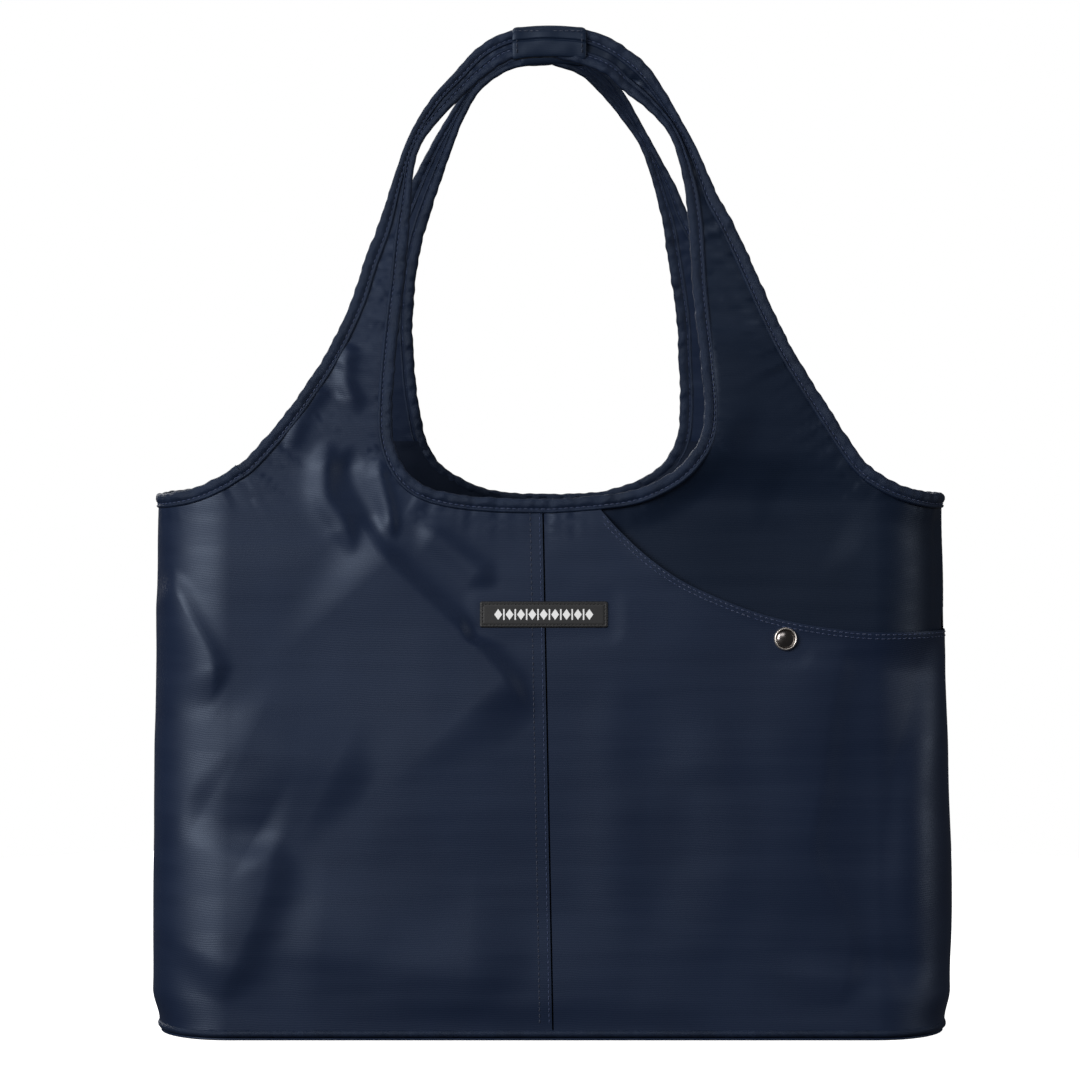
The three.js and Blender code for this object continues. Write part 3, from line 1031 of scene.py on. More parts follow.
@dataclass(frozen=True)
class Twist:
    """Twisted sewing thread."""

    name: str
    colour: Colour
    light: Colour
    pitch: float = 0.7 * MM

    def make(self) -> bpy.types.Material:
        """Makes the material."""
        shader = Shader(self.name)
        place = shader.place()
        x, y, z = shader.parts(place)
        ply = ((x + z * 1.3 + y) / self.pitch * TURN).sine() * 0.5 + 0.5
        fuzz = shader.noise(place, 1500, 2)
        tone = shader.mix(ply * 0.6 + fuzz * 0.4, self.colour, self.light)
        normal = shader.bump(ply + fuzz * 0.4, 0.08 * MM)
        return shader.dress(Base_Color=tone, Roughness=0.42 + fuzz * 0.15, Normal=normal, Sheen_Weight=0.15)


@dataclass(frozen=True)
class Rubber:
    """Moulded soft rubber."""

    name: str
    colour: Colour
    light: Colour
    roughness: float = 0.5

    def make(self) -> bpy.types.Material:
        """Makes the material."""
        shader = Shader(self.name)
        place = shader.place()
        grain = shader.noise(place, 2200, 3)
        cloud = shader.noise(place, 120, 3)
        tone = shader.mix(cloud, self.colour, self.light)
        normal = shader.bump(grain + cloud * 0.5, 0.03 * MM)
        return shader.dress(Base_Color=tone, Roughness=self.roughness + grain * 0.12, Normal=normal)


@dataclass(frozen=True)
class Metal:
    """Plated and polished metal with faint handling marks."""

    name: str
    colour: Colour
    light: Colour
    roughness: float = 0.16

    def make(self) -> bpy.types.Material:
        """Makes the material."""
        shader = Shader(self.name)
        place = shader.place()
        haze = shader.noise(place, 420, 4)
        scratch = shader.noise(place, 900, 3, (1, 1, 0.1))
        tone = shader.mix(haze, self.colour, self.light)
        normal = shader.bump(scratch, 0.002 * MM)
        rough = self.roughness + haze * 0.12
        return shader.dress(Base_Color=tone, Roughness=rough, Normal=normal, Metallic=1.0)


class Finishes:
    """Every finish of the bag, made once."""

    def __init__(self) -> None:
        """Makes the materials."""
        navy, navy_light = (0.0038, 0.008, 0.0232), (0.0063, 0.0131, 0.0355)
        self.shell = Ribbed("navy_nylon", navy, navy_light).make()
        # Painted shade: a darker, less glossy copy of the shell nylon, for the cloth behind the pocket and
        # the front's right arm, which fall darker in the light from the left.
        painted_shade_dark, painted_shade_light = (0.0028, 0.0061, 0.0158), (0.0047, 0.01, 0.0243)
        self.shaded = Ribbed("painted_shade_nylon", painted_shade_dark, painted_shade_light, specular=0.24).make()
        self.sleeve = Ribbed("sleeve_nylon", (0.0036, 0.0082, 0.021), (0.006, 0.0128, 0.031), 0.45).make()
        lining, lining_light = (0.003, 0.0055, 0.014), (0.005, 0.009, 0.021)
        self.lining = Ribbed("lining_weave", lining, lining_light, 0.6, 0.7 * MM, specular=0.2).make()
        self.tape = Grosgrain("edge_tape", (0.0033, 0.007, 0.019), (0.0067, 0.0136, 0.0355)).make()
        self.thread = Twist("sewing_thread", (0.008, 0.018, 0.056), (0.017, 0.037, 0.112)).make()
        self.dark_thread = Twist("dark_thread", (0.006, 0.011, 0.03), (0.012, 0.022, 0.055)).make()
        self.rubber = Rubber("patch_rubber", (0.007, 0.007, 0.008), (0.012, 0.012, 0.013)).make()
        self.print = Rubber("patch_print", (0.78, 0.78, 0.78), (0.86, 0.86, 0.86), 0.4).make()
        self.metal = Metal("ring_metal", (0.62, 0.57, 0.53), (0.74, 0.69, 0.64), 0.3).make()
        self.enamel = Metal("dome_metal", (0.16, 0.15, 0.15), (0.22, 0.2, 0.19), 0.14).make()
        self.board = Rubber("stiff_board", (0.02, 0.02, 0.022), (0.035, 0.035, 0.038), 0.7).make()


def hand_over(piece: bpy.types.Object, *nodes: str) -> None:
    """Hides the frame's nodes that a piece stands for."""
    if nodes:
        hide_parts(*nodes)


# ---------------------------------------------------------------- the two sheets with their arms
def flat_area(outline: Array) -> float:
    """Area inside a closed outline of the flat drawing."""
    x, y = outline.T
    return float(abs((x * np.roll(y, -1) - y * np.roll(x, -1)).sum()) / 2)


def declare(outline: Array) -> None:
    """Works out the flat size of a cut of cloth, without keeping it.

    Args:
        outline: Its cut on the flat drawing.
    """
    lean = math.hypot(1, BODY.slope)
    area = flat_area(outline) * lean
    width, height = (outline.max(0) - outline.min(0)) * (1, lean)
    if area < 0.35 * width * height:
        height = float(np.linalg.norm(np.diff(outline, axis=0), axis=1).sum()) / 2
        width = 1.2 * area / height


@dataclass
class Side:
    """One half of the bag's outside: panels, gussets, arms, facings and tapes."""

    half: Half
    outline: Outline
    drape: Drape
    finishes: Finishes
    fine: float = 2.6 * MM
    coarse: float = 4.5 * MM
    facing_depth: float = 0.1 * MM
    lining_depth: float = 8.0 * MM
    seam_gap: float = 0.45 * MM

    def cut(self, name: str, relief: Relief, outline: Array, spacing: float, finish: bpy.types.Material,
            held: tuple[str, str], node: str) -> bpy.types.Object:
        """Args:
            name: Name of the piece.
            relief: Height of its outer face.
            outline: Its closed outline on the flat drawing.
            spacing: Distance between its points.
            finish: Its material.
            held: How it is held, and the node or piece that it rests on; not used.
            node: Node that it stands for.

        Returns:
            The cloth, which doesn't move with anything yet.
        """
        piece = Sheet(self.half, relief).build(name, outline, spacing, finish)
        declare(outline)
        hand_over(piece, node)
        return piece

    def foot_line(self, start: float, end: float) -> Array:
        """The bottom edge between two places across."""
        return np.array([[start, BODY.hem], [end, BODY.hem]])

    def side_line(self, right: bool) -> Array:
        """The side's middle fold, upwards on the right and downwards on the left."""
        levels = np.array([BODY.hem, BODY.rim - self.outline.hidden])
        line = np.stack([BODY.side_fold(levels), levels], 1)
        return line if right else (line * (-1, 1))[::-1]

    def rim_edge(self, right: bool, corner_part: bool) -> Array:
        """The rim's edge of the panel, up to the side seam, or of the gusset beyond it."""
        line = self.outline.edge(self.outline.rim_right if right else self.outline.rim_left)
        run = np.abs(line[:, 0])
        order = np.argsort(run)
        height = float(np.interp(BODY.arc_end, run[order], line[order, 1]))
        seam = [[math.copysign(BODY.arc_end, line[0, 0]), height]]
        if corner_part:
            part = line[(run < BODY.arc_end - 0.2 * MM) & (run >= BODY.flat_half)]
        else:
            part = line[run > BODY.arc_end + 0.2 * MM]
        return np.vstack([seam, part] if right == corner_part else [part, seam])

    def seam_line(self, low: float, high: float, aside: float = 0.0) -> Array:
        """A line beside the centre seam between two heights, in the order given."""
        levels = np.linspace(low, high, 12)
        return np.stack([BODY.seam(levels) + aside, levels], 1)

    def arm_foot(self, line: Array) -> Array:
        """The armhole's edge of the panel, below the arm."""
        return bend_edge(self.outline.edge(line), self.outline.arm_level, below=True)

    def panel_outline(self, right: bool) -> Array:
        """Cut of one front panel, from the centre seam to the side seam and up to the arm."""
        top = BODY.rim - 2.2 * MM
        foot = BODY.hem
        neck = self.outline.neck_end(float(BODY.seam(top)), right)
        if right:
            lines = [self.foot_line(float(BODY.seam(foot)), BODY.arc_end), self.rim_edge(True, True),
                     self.arm_foot(self.outline.armhole_right), neck, self.seam_line(neck[-1, 1], foot)]
        else:
            lines = [self.seam_line(foot, neck[0, 1], -self.seam_gap), neck,
                     self.arm_foot(self.outline.armhole_left), self.rim_edge(False, True),
                     self.foot_line(-BODY.arc_end, float(BODY.seam(foot)) - self.seam_gap)]
        return joined(*lines, spacing=self.fine)

    def whole_outline(self, spacing: float) -> Array:
        """Cut of one undivided sheet between the side seams."""
        lines = [self.foot_line(-BODY.arc_end, BODY.arc_end), self.rim_edge(True, True),
                 self.arm_foot(self.outline.armhole_right), self.outline.neck_end(0, True),
                 self.outline.neck_end(0, False), self.arm_foot(self.outline.armhole_left),
                 self.rim_edge(False, True)]
        return joined(*lines, spacing=spacing)

    def gusset_outline(self, right: bool, spacing: float) -> Array:
        """Cut of half a gusset, from the side seam to the side's middle fold."""
        rim = self.rim_edge(right, False)
        foot = BODY.hem
        end = float(BODY.side_fold(foot))
        if right:
            return joined(self.foot_line(BODY.arc_end, end), self.side_line(True), rim, spacing=spacing)
        return joined(rim, self.side_line(False), self.foot_line(-end, -BODY.arc_end), spacing=spacing)

    def build_gussets(self) -> None:
        """Makes this half of both gussets."""
        for right in (False, True):
            side = "right" if right else "left"
            outline = self.gusset_outline(right, self.fine)
            piece = self.cut(f"{side}_gusset_{self.half.body}", self.drape, outline, self.fine,
                             self.finishes.shell, ("stretched", "base_panel"), f"{side}_gusset")
            lay_flat(piece, self.half)

    def build_linings(self) -> None:
        """Makes the lining behind this half, gussets included."""
        hang = self.lining_relief()
        outline = self.whole_outline(self.coarse)
        piece = self.cut(f"{self.half.body}_lining_cloth", hang, outline, self.coarse,
                         self.finishes.lining, ("hung", "base_lining"), f"{self.half.body}_lining")
        lay_flat(piece, self.half)
        for right in (False, True):
            side = "right" if right else "left"
            outline = self.gusset_outline(right, self.coarse)
            piece = self.cut(f"{side}_gusset_lining_{self.half.body}", hang, outline, self.coarse,
                             self.finishes.lining, ("hung", "base_lining"), f"{side}_gusset_lining")
            lay_flat(piece, self.half)

    def lining_relief(self) -> Relief:
        """Depth of the lining, which meets the cloth along every edge and sags away below."""
        edges = [self.outline.neck, self.outline.armhole_left, self.outline.armhole_right,
                 self.outline.rim_left, self.outline.rim_right]
        border = np.vstack([line[::3] for line in edges])
        hills = Noise(38 * MM, 1.2, self.drape.seed + 40)

        def relief(across: Array, up: Array) -> Array:
            """Height of the lining's outer face."""
            points = points_at(across, up)
            away, _ = nearest(points, border)
            below = smooth(self.outline.arm_level - points[:, 1], 1 * MM, 30 * MM)
            above_foot = smooth(points[:, 1], BODY.foot, BODY.foot + 20 * MM)
            hang = smooth(away, 2 * MM, 34 * MM) * above_foot * below
            depth = 1.2 * MM + (self.lining_depth - 1.2 * MM) * smooth(away, 2 * MM, 26 * MM) * below
            close = 0.5 * self.drape(across, up) * (1 - smooth(away, 8 * MM, 30 * MM) * below)
            return close - depth + hang * (hills(*points.T) - 0.6) * MM

        return relief

    def build_arms(self) -> None:
        """Makes both arms with their facings."""
        for right in (False, True):
            side = "right" if right else "left"
            outline = joined(*self.outline.arm(right), spacing=self.fine * 0.9)
            name = f"{self.half.body}_{side}_arm"
            # The front's right arm takes the darker copy of the nylon: painted shade.
            finish = self.finishes.shaded if right and self.half is Half.FRONT else self.finishes.shell
            held = ("stretched", f"{self.half.body}_handle_wrap")
            piece = self.cut(f"{name}_cloth", self.drape, outline, self.fine * 0.9, finish, held, name)
            bend_with_handle(piece, self.half)
            name = f"{self.half.body}_{side}_facing"
            piece = self.cut(f"{name}_cloth", self.facing_relief, outline, self.fine * 1.2,
                             self.finishes.shell, held, name)
            bend_with_handle(piece, self.half)

    def facing_relief(self, across: Array, up: Array) -> Array:
        """Height of the facings, just behind the arms."""
        return self.drape(across, up) * 0.6 - BODY.cloth - self.facing_depth

    def tape(self, name: str, line: Array, seed: int, nodes: Sequence[str]) -> None:
        """Makes one edge tape.

        Args:
            name: Name of the piece.
            line: The cloth's outer line.
            seed: Seed of the gathers.
            nodes: Nodes that the tape stands for.
        """
        width = self.outline.tape_width(line)
        middle = beside(line, width / 2)
        tape = Tape(self.half, self.drape, seed)
        piece = tape.build(name, middle, width, self.finishes.tape)
        hand_over(piece, *nodes)
        move = lay_flat if "rim" in name else bend_with_handle
        move(piece, self.half)
        for where, lift in (("outer", tape.stitch_lift), ("inner", tape.inner_lift)):
            stitches = thread(f"{name}_{where}_stitches", self.half, [tape.stitch_line(middle, width)], lift,
                              self.finishes.thread)
            hand_over(stitches)
            move(stitches, self.half)

    def build_tapes(self) -> None:
        """Makes the neck, armhole and rim tapes of this half."""
        body = self.half.body
        neck_nodes = [f"{body}_neck_binding", f"{body}_left_inner_binding", f"{body}_right_inner_binding"]
        self.tape(f"{body}_neck_tape", self.outline.neck, self.drape.seed + 10, neck_nodes)
        for side, armhole, rim in (("left", self.outline.armhole_left, self.outline.rim_left),
                                   ("right", self.outline.armhole_right, self.outline.rim_right)):
            nodes = [f"{body}_{side}_armhole_binding", f"{body}_{side}_outer_binding"]
            self.tape(f"{body}_{side}_armhole_tape", armhole, self.drape.seed + 11 + len(side), nodes)
            nodes = [f"{side}_rim_binding"]
            self.tape(f"{body}_{side}_rim_tape", rim, self.drape.seed + 21 + len(side), nodes)


@dataclass
class BackSide(Side):
    """The back half, with one undivided panel."""

    def build(self) -> None:
        """Makes every piece of the back half."""
        spacing = self.fine * 1.2
        piece = self.cut("back_panel_cloth", self.drape, self.whole_outline(spacing), spacing,
                         self.finishes.shell, ("hung", "base_panel"), "back_panel")
        lay_flat(piece, self.half)
        self.build_gussets()
        self.build_arms()
        self.build_tapes()
        self.build_linings()


@dataclass
class FrontSide(Side):
    """The front half: left panel, the cloth behind the pocket, and the pocket with its flaps."""

    mouth: Pairs = ((27, 281), (36, 271), (51, 257), (68, 245), (85, 236.6), (107, 228), (125, 223),
                    (143, 219.6), (160, 217.4), (172.7, 216.5))
    root: tuple[float, float] = (105, 95)
    split: tuple[float, float] = (107, 228)
    mouth_start: tuple[float, float] = (22 * MM, 286.5 * MM)
    mouth_end: float = 216.4 * MM
    rows: tuple[float, float] = (1.3 * MM, 3.4 * MM)
    under: float = 4.0 * MM

    def __post_init__(self) -> None:
        """Draws the pocket's mouth, from the neckline to the side seam."""
        self.mouth_line = spline(self.mouth, 1 * MM)
        tail = np.array([BODY.arc_end, self.mouth_end])
        self.mouth_dense = even(np.vstack([self.mouth_start, self.mouth_line, tail]), 1 * MM)

    def pocket_relief(self, across: Array, up: Array) -> Array:
        """Height of the pocket cloth, with its thicker hem."""
        points = points_at(across, up)
        near = (points[:, 0] > 5 * MM) & (points[:, 1] > 190 * MM)
        away = np.full(len(points), 1.0)
        if near.any():
            away[near], _ = nearest(points[near], self.mouth_dense)
        keep = smooth(points[:, 0], 24 * MM, 60 * MM) * smooth(BODY.arc_end - points[:, 0], 0, 30 * MM)
        return self.drape(across, up) + 1.1 * MM * keep * np.exp(-((away / (5 * MM)) ** 2))

    def under_relief(self, across: Array, up: Array) -> Array:
        """Height of the cloth behind and above the pocket."""
        points = points_at(across, up)
        lines = [self.outline.neck, self.outline.armhole_right, self.outline.rim_right]
        away, _ = nearest(points, np.vstack([line[::3] for line in lines]))
        sink = smooth(away, 3 * MM, 22 * MM) * smooth(BODY.arc_end - points[:, 0], 0, 16 * MM)
        arm = 1 - smooth(points[:, 1], 285 * MM, 316 * MM)
        side = smooth(BODY.arc_end - points[:, 0], 2 * MM, 16 * MM)
        low = 1.3 * MM * (1 - (1 - side) * smooth(points[:, 1], 221 * MM, 229 * MM))
        return self.drape(across, up) * (1 - 0.35 * sink * arm) - (low + (self.under - low) * sink) * arm

    def pocket_outline(self) -> Array:
        """Cut of the pocket cloth that stays with the front."""
        foot = BODY.hem
        line = self.outline.edge(self.outline.neck)
        between = (line[:, 0] < self.mouth_start[0]) & (line[:, 0] > float(BODY.seam(BODY.rim)))
        stretch = line[between & (line[:, 1] < BODY.rim + 9 * MM)]
        right, left = self.mouth_line[-1], self.mouth_line[0]
        root = np.array(self.root) * MM
        rise = np.array([[BODY.arc_end, foot], [BODY.arc_end, self.mouth_end]])
        start = float(BODY.seam(foot)) + self.seam_gap
        lines = [self.foot_line(start, BODY.arc_end), rise, np.array([rise[1], right]),
                 np.array([right, root]), np.array([root, left]), np.array([left, stretch[0]]), stretch,
                 self.seam_line(stretch[-1, 1], foot, self.seam_gap)]
        return joined(*lines, spacing=self.fine)

    def flap_outline(self, right: bool) -> Array:
        """Cut of one half of the pocket's mouth, down to its root."""
        root = np.array(self.root) * MM
        index = int(np.abs(self.mouth_line[:, 0] - self.split[0] * MM).argmin())
        part = self.mouth_line[index:] if right else self.mouth_line[:index + 1]
        lines = [np.array([root, part[-1]]), part[::-1], np.array([part[0], root])]
        return joined(*lines, spacing=self.fine)

    def build(self) -> None:
        """Makes every piece of the front half."""
        shell = self.finishes.shell
        piece = self.cut("front_left_cloth", self.drape, self.panel_outline(False), self.fine, shell,
                         ("hung", "base_panel"), "front_left_panel")
        lay_flat(piece, self.half)
        # The cloth behind the pocket takes the darker copy of the nylon: painted shade of the sunken panel.
        piece = self.cut("front_right_cloth", self.under_relief, self.panel_outline(True), self.fine,
                         self.finishes.shaded, ("hung", "base_panel"), "front_right_panel")
        lay_flat(piece, self.half)
        piece = self.cut("pocket_cloth", self.pocket_relief, self.pocket_outline(), self.fine, shell,
                         ("stretched", "front_right_cloth"), "pocket_lower_panel")
        lay_flat(piece, self.half)
        for right in (False, True):
            side = "right" if right else "left"
            piece = self.cut(f"pocket_{side}_cloth", self.pocket_relief, self.flap_outline(right), self.fine,
                             shell, ("stretched", "pocket_cloth"), f"pocket_{side}_flap")
            lay_flat(piece, self.half, f"pocket_{side}")
        self.build_mouth_stitches()
        self.build_seam_stitches()
        self.build_gussets()
        self.build_arms()
        self.build_tapes()
        self.build_linings()

    def build_mouth_stitches(self) -> None:
        """Sews the pocket's hem with two rows."""
        def lift(across: Array, up: Array) -> Array:
            """Height of the thread."""
            return self.pocket_relief(across, up) + 0.1 * MM

        rows = [beside(self.mouth_dense, -distance) for distance in self.rows]
        split, end = self.split[0] * MM, self.mouth_line[-1, 0]
        start = self.mouth_line[0, 0]
        cuts = {"front": lambda x: x >= end, "pocket_left": lambda x: (x > start) & (x < split),
                "pocket_right": lambda x: (x >= split) & (x < end)}
        for body, chosen in cuts.items():
            lines = [row[chosen(row[:, 0])] for row in rows]
            piece = thread(f"mouth_stitches_{body}", self.half, lines, lift, self.finishes.thread)
            hand_over(piece)
            lay_flat(piece, self.half, body)

    def build_seam_stitches(self) -> None:
        """Sews the centre seam down the pocket's side."""
        def lift(across: Array, up: Array) -> Array:
            """Height of the thread."""
            return self.drape(across, up) + 0.08 * MM

        for name, aside, finish in (("seam_stitches", -1.9 * MM, self.finishes.thread),
                                    ("fell_stitches", -7 * MM, self.finishes.dark_thread)):
            line = self.seam_line(BODY.foot + 2 * MM, BODY.rim - 8 * MM, aside)
            piece = thread(name, self.half, [line], lift, finish)
            hand_over(piece)
            lay_flat(piece, self.half)


# ---------------------------------------------------------------- trims
@dataclass
class Label:
    """A rubber patch over the centre seam, with a raised border and a plain printed pattern."""

    finishes: Finishes
    low: Vector = field(default_factory=lambda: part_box("label_patch")[0])
    high: Vector = field(default_factory=lambda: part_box("label_patch")[1])
    radius: float = 1.3 * MM
    height: float = 1.25 * MM
    channel: float = 1.55 * MM
    spacing: float = 0.55 * MM
    marks: int = 9

    @property
    def middle(self) -> tuple[float, float]:
        """Middle of the patch on the sheet."""
        return (self.low.x + self.high.x) / 2, (self.low.z + self.high.z) / 2

    def border(self, inset: float) -> Array:
        """The patch's rounded border, moved inwards."""
        x, z = self.middle
        half_x = (self.high.x - self.low.x) / 2 - inset
        half_z = (self.high.z - self.low.z) / 2 - inset
        radius = max(self.radius - inset * 0.5, 0.4 * MM)
        turns = np.linspace(0, math.pi / 2, 5)
        corners = [(half_x - radius, -half_z + radius, -math.pi / 2),
                   (half_x - radius, half_z - radius, 0.0),
                   (-half_x + radius, half_z - radius, math.pi / 2),
                   (-half_x + radius, -half_z + radius, math.pi)]
        points = [(x + cx + radius * math.cos(start + t), z + cz + radius * math.sin(start + t))
                  for cx, cz, start in corners for t in turns]
        return np.array(points)

    def relief(self, across: Array, up: Array) -> Array:
        """Height of the patch, with its rim and the channel of its stitches."""
        x, z = self.middle
        gap_x = (self.high.x - self.low.x) / 2 - np.abs(across - x)
        gap_z = (self.high.z - self.low.z) / 2 - np.abs(up - z)
        edge = np.minimum(gap_x, gap_z)
        top = self.height * (1 - np.exp(-np.maximum(edge, 0) / (0.28 * MM)))
        rim = 0.16 * MM * np.exp(-(((edge - 0.75 * MM) / (0.35 * MM)) ** 2))
        channel = 0.2 * MM * np.exp(-(((edge - self.channel) / (0.4 * MM)) ** 2))
        return top + rim - channel

    def build(self) -> None:
        """Makes the patch, its stitches and its pattern."""
        outline = even(np.vstack([self.border(0), self.border(0)[:1]]), self.spacing)[:-1]
        sheet = Sheet(Half.FRONT, self.relief, 1.1 * MM)
        patch = sheet.build("label_rubber_patch", outline, self.spacing, self.finishes.rubber)
        hand_over(patch, "label_patch")
        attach(patch, "front")
        line = np.vstack([self.border(self.channel), self.border(self.channel)[:1]])
        stitches = thread("label_stitches", Half.FRONT, [line], lambda a, u: self.relief(a, u) + 0.12 * MM,
                          self.finishes.rubber, Row(1.5 * MM, 2.0 * MM, 0.2 * MM))
        hand_over(stitches)
        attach(stitches, "front")
        self.build_pattern()

    def build_pattern(self) -> None:
        """Prints a plain row of diamonds and bars."""
        x, z = self.middle
        pitch = 6.1 * MM
        vertices, faces = [], []
        tall, wide, thin = 2.9, 2.1, 0.4
        diamond = [(0, -tall), (wide, 0), (0, tall), (-wide, 0)]
        bar = [(-thin, -tall), (thin, -tall), (thin, tall), (-thin, tall)]
        for index in range(2 * self.marks - 1):
            shape = np.array(bar if index % 2 else diamond) * MM
            centre = np.array([x + (index - self.marks + 1) * pitch / 2, z])
            base = len(vertices)
            spots = shape + centre
            high = Half.FRONT.place(spots[:, 0], spots[:, 1], self.height + 0.12 * MM)
            low = Half.FRONT.place(spots[:, 0], spots[:, 1], self.height - 0.15 * MM)
            vertices += [*high, *low]
            faces.append([base, base + 1, base + 2, base + 3])
            faces.append([base + 7, base + 6, base + 5, base + 4])
            faces += [[base + (i + 1) % 4, base + i, base + 4 + i, base + 4 + (i + 1) % 4] for i in range(4)]
        pattern = link("label_pattern", np.array(vertices), faces, self.finishes.print)
        pattern.data.shade_flat()
        hand_over(pattern)
        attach(pattern, "front")


@dataclass
class Snap:
    """The ring snap on the pocket, with its hidden half behind."""

    finishes: Finishes
    segments: int = 72

    RING = ((4.9, 0.6), (5.05, 1.75), (5.2, 2.1), (5.45, 2.3), (5.75, 2.2), (6.05, 1.8), (6.22, 1.1),
            (6.25, 0.3), (5.6, 0.2))
    CENTRE = ((0.01, 2.35), (0.8, 2.33), (2.0, 2.22), (3.2, 2.0), (4.2, 1.68), (5.1, 1.2), (5.0, 0.5),
              (0.01, 0.45))

    def turn(self, name: str, profile: Pairs, finish: bpy.types.Material, closed: bool) -> bpy.types.Object:
        """Turns a profile round the snap's axis.

        Args:
            name: Name of the piece.
            profile: Radius and height pairs in millimetres.
            finish: Material of the piece.
            closed: Whether the profile runs on to its first point.

        Returns:
            The turned piece.
        """
        low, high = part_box("snap_cap")
        x, z = (low.x + high.x) / 2, (low.z + high.z) / 2
        points = np.array(profile) * MM
        angles = np.linspace(0, 2 * math.pi, self.segments, endpoint=False)
        rings = [Half.FRONT.place(x + radius * np.cos(angles), z + radius * np.sin(angles), height)
                 for radius, height in points]
        grid = np.stack(rings)
        count, each = grid.shape[:2]
        faces = []
        for ring in range(count if closed else count - 1):
            for step in range(each):
                following = (step + 1) % each
                above = (ring + 1) % count
                faces.append([ring * each + step, above * each + step, above * each + following,
                              ring * each + following])
        return link(name, grid.reshape(-1, 3), faces, finish)

    def build(self) -> None:
        """Makes the ring and its centre, and plates the hidden pieces."""
        ring = self.turn("snap_ring", self.RING, self.finishes.metal, True)
        hand_over(ring, "snap_cap")
        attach(ring, "pocket_right")
        centre = self.turn("snap_dome", self.CENTRE, self.finishes.enamel, False)
        hand_over(centre)
        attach(centre, "pocket_right")
        for node in ("snap_socket", "snap_stud", "snap_post"):
            piece = frame["nodes"][node]
            for index in range(len(piece.material_slots)):
                piece.material_slots[index].material = self.finishes.metal


@dataclass
class Wrap:
    """The cloth sleeve where the two arms of a half meet."""

    half: Half
    finishes: Finishes
    low: float
    high: float
    steps: int = 56
    corners: int = 160
    depth: float = 3.5 * MM
    flatness: float = 0.4
    seed: int = 5

    def crest(self, across: Array | float) -> Array | float:
        """Height lost towards the ends, where the handle curves down."""
        low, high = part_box(f"{self.half.body}_handle_wrap")
        return -0.0016 * ((across - (low.x + high.x) / 2) / (20 * MM)) ** 2

    def section(self, across: float, node: str) -> Array:
        """One section of the sleeve, as up and out pairs."""
        low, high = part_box(node)
        share = (across - low.x) / (high.x - low.x)
        ends = min(share, 1 - share) * (high.x - low.x)
        size = 1 - 0.14 * math.exp(-ends / (0.5 * MM)) + 0.03 * math.exp(-((ends - 2.4 * MM) / (2 * MM)) ** 2)
        angle = np.linspace(0, 2 * math.pi, self.corners, endpoint=False)
        up = np.sin(angle)
        out = np.sign(np.cos(angle)) * np.abs(np.cos(angle)) ** self.flatness
        half_height = (self.high - self.low) / 2
        sway = Noise(9 * MM, 1.0, self.seed)(np.full(len(angle), across), up * half_height)
        seam = np.exp(-(((up - 0.1) * half_height) / (0.55 * MM)) ** 2) * (out > 0)
        flap = 0.45 * MM * smooth((up - 0.1) * half_height, 0, 0.5 * MM)
        top = np.exp(-(((up - 0.72) * half_height) / (0.55 * MM)) ** 2) * (out > 0)
        fold = 0.4 * MM * sway - 0.75 * MM * seam - 0.25 * MM * top + flap - 0.3 * MM
        centre = (self.high + self.low) / 2 + self.crest(across)
        stand = out * self.depth * size + fold * (out > 0) - 0.3 * MM
        return np.stack([centre + up * half_height * size, stand], 1)

    def build(self) -> None:
        """Makes the sleeve with its end rows of stitches."""
        node = f"{self.half.body}_handle_wrap"
        low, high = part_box(node)
        runs = np.concatenate([[low.x, low.x + 0.3 * MM, low.x + 0.8 * MM],
                               np.linspace(low.x + 1.6 * MM, high.x - 1.6 * MM, self.steps),
                               [high.x - 0.8 * MM, high.x - 0.3 * MM, high.x]])
        rings = []
        for run in runs:
            section = self.section(float(run), node)
            rings.append(self.half.place(np.full(len(section), run), section[:, 0], section[:, 1]))
        grid = np.stack(rings)
        faces = ring_faces(*grid.shape[:2]) + end_faces(*grid.shape[:2])
        if self.half is Half.FRONT:
            faces = [face[::-1] for face in faces]
        sleeve = link(f"{self.half.body}_handle_sleeve", grid.reshape(-1, 3), faces, self.finishes.sleeve)
        hand_over(sleeve, node)
        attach(sleeve, self.half.handle)
        middle = (self.low + self.high) / 2
        reach = (self.high - self.low) / 2 - 1.4 * MM
        lines = [np.array([[x, middle - reach], [x, middle + reach]])
                 for x in (low.x + 2.4 * MM, high.x - 2.4 * MM)]
        level = middle + 0.72 * reach
        lines.append(np.array([[low.x + 2.6 * MM, level], [high.x - 2.6 * MM, level]]))

        def lift(across: Array, up: Array) -> Array:
            """Height of the thread on the sleeve."""
            level = np.clip(np.abs((up - middle - self.crest(across)) * 2 / (self.high - self.low)), 0, 1)
            return self.depth * (1 - level**2) ** (self.flatness / 2) - 0.2 * MM

        name = f"{self.half.body}_sleeve_stitches"
        stitches = thread(name, self.half, lines, lift, self.finishes.dark_thread)
        hand_over(stitches)
        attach(stitches, self.half.handle)


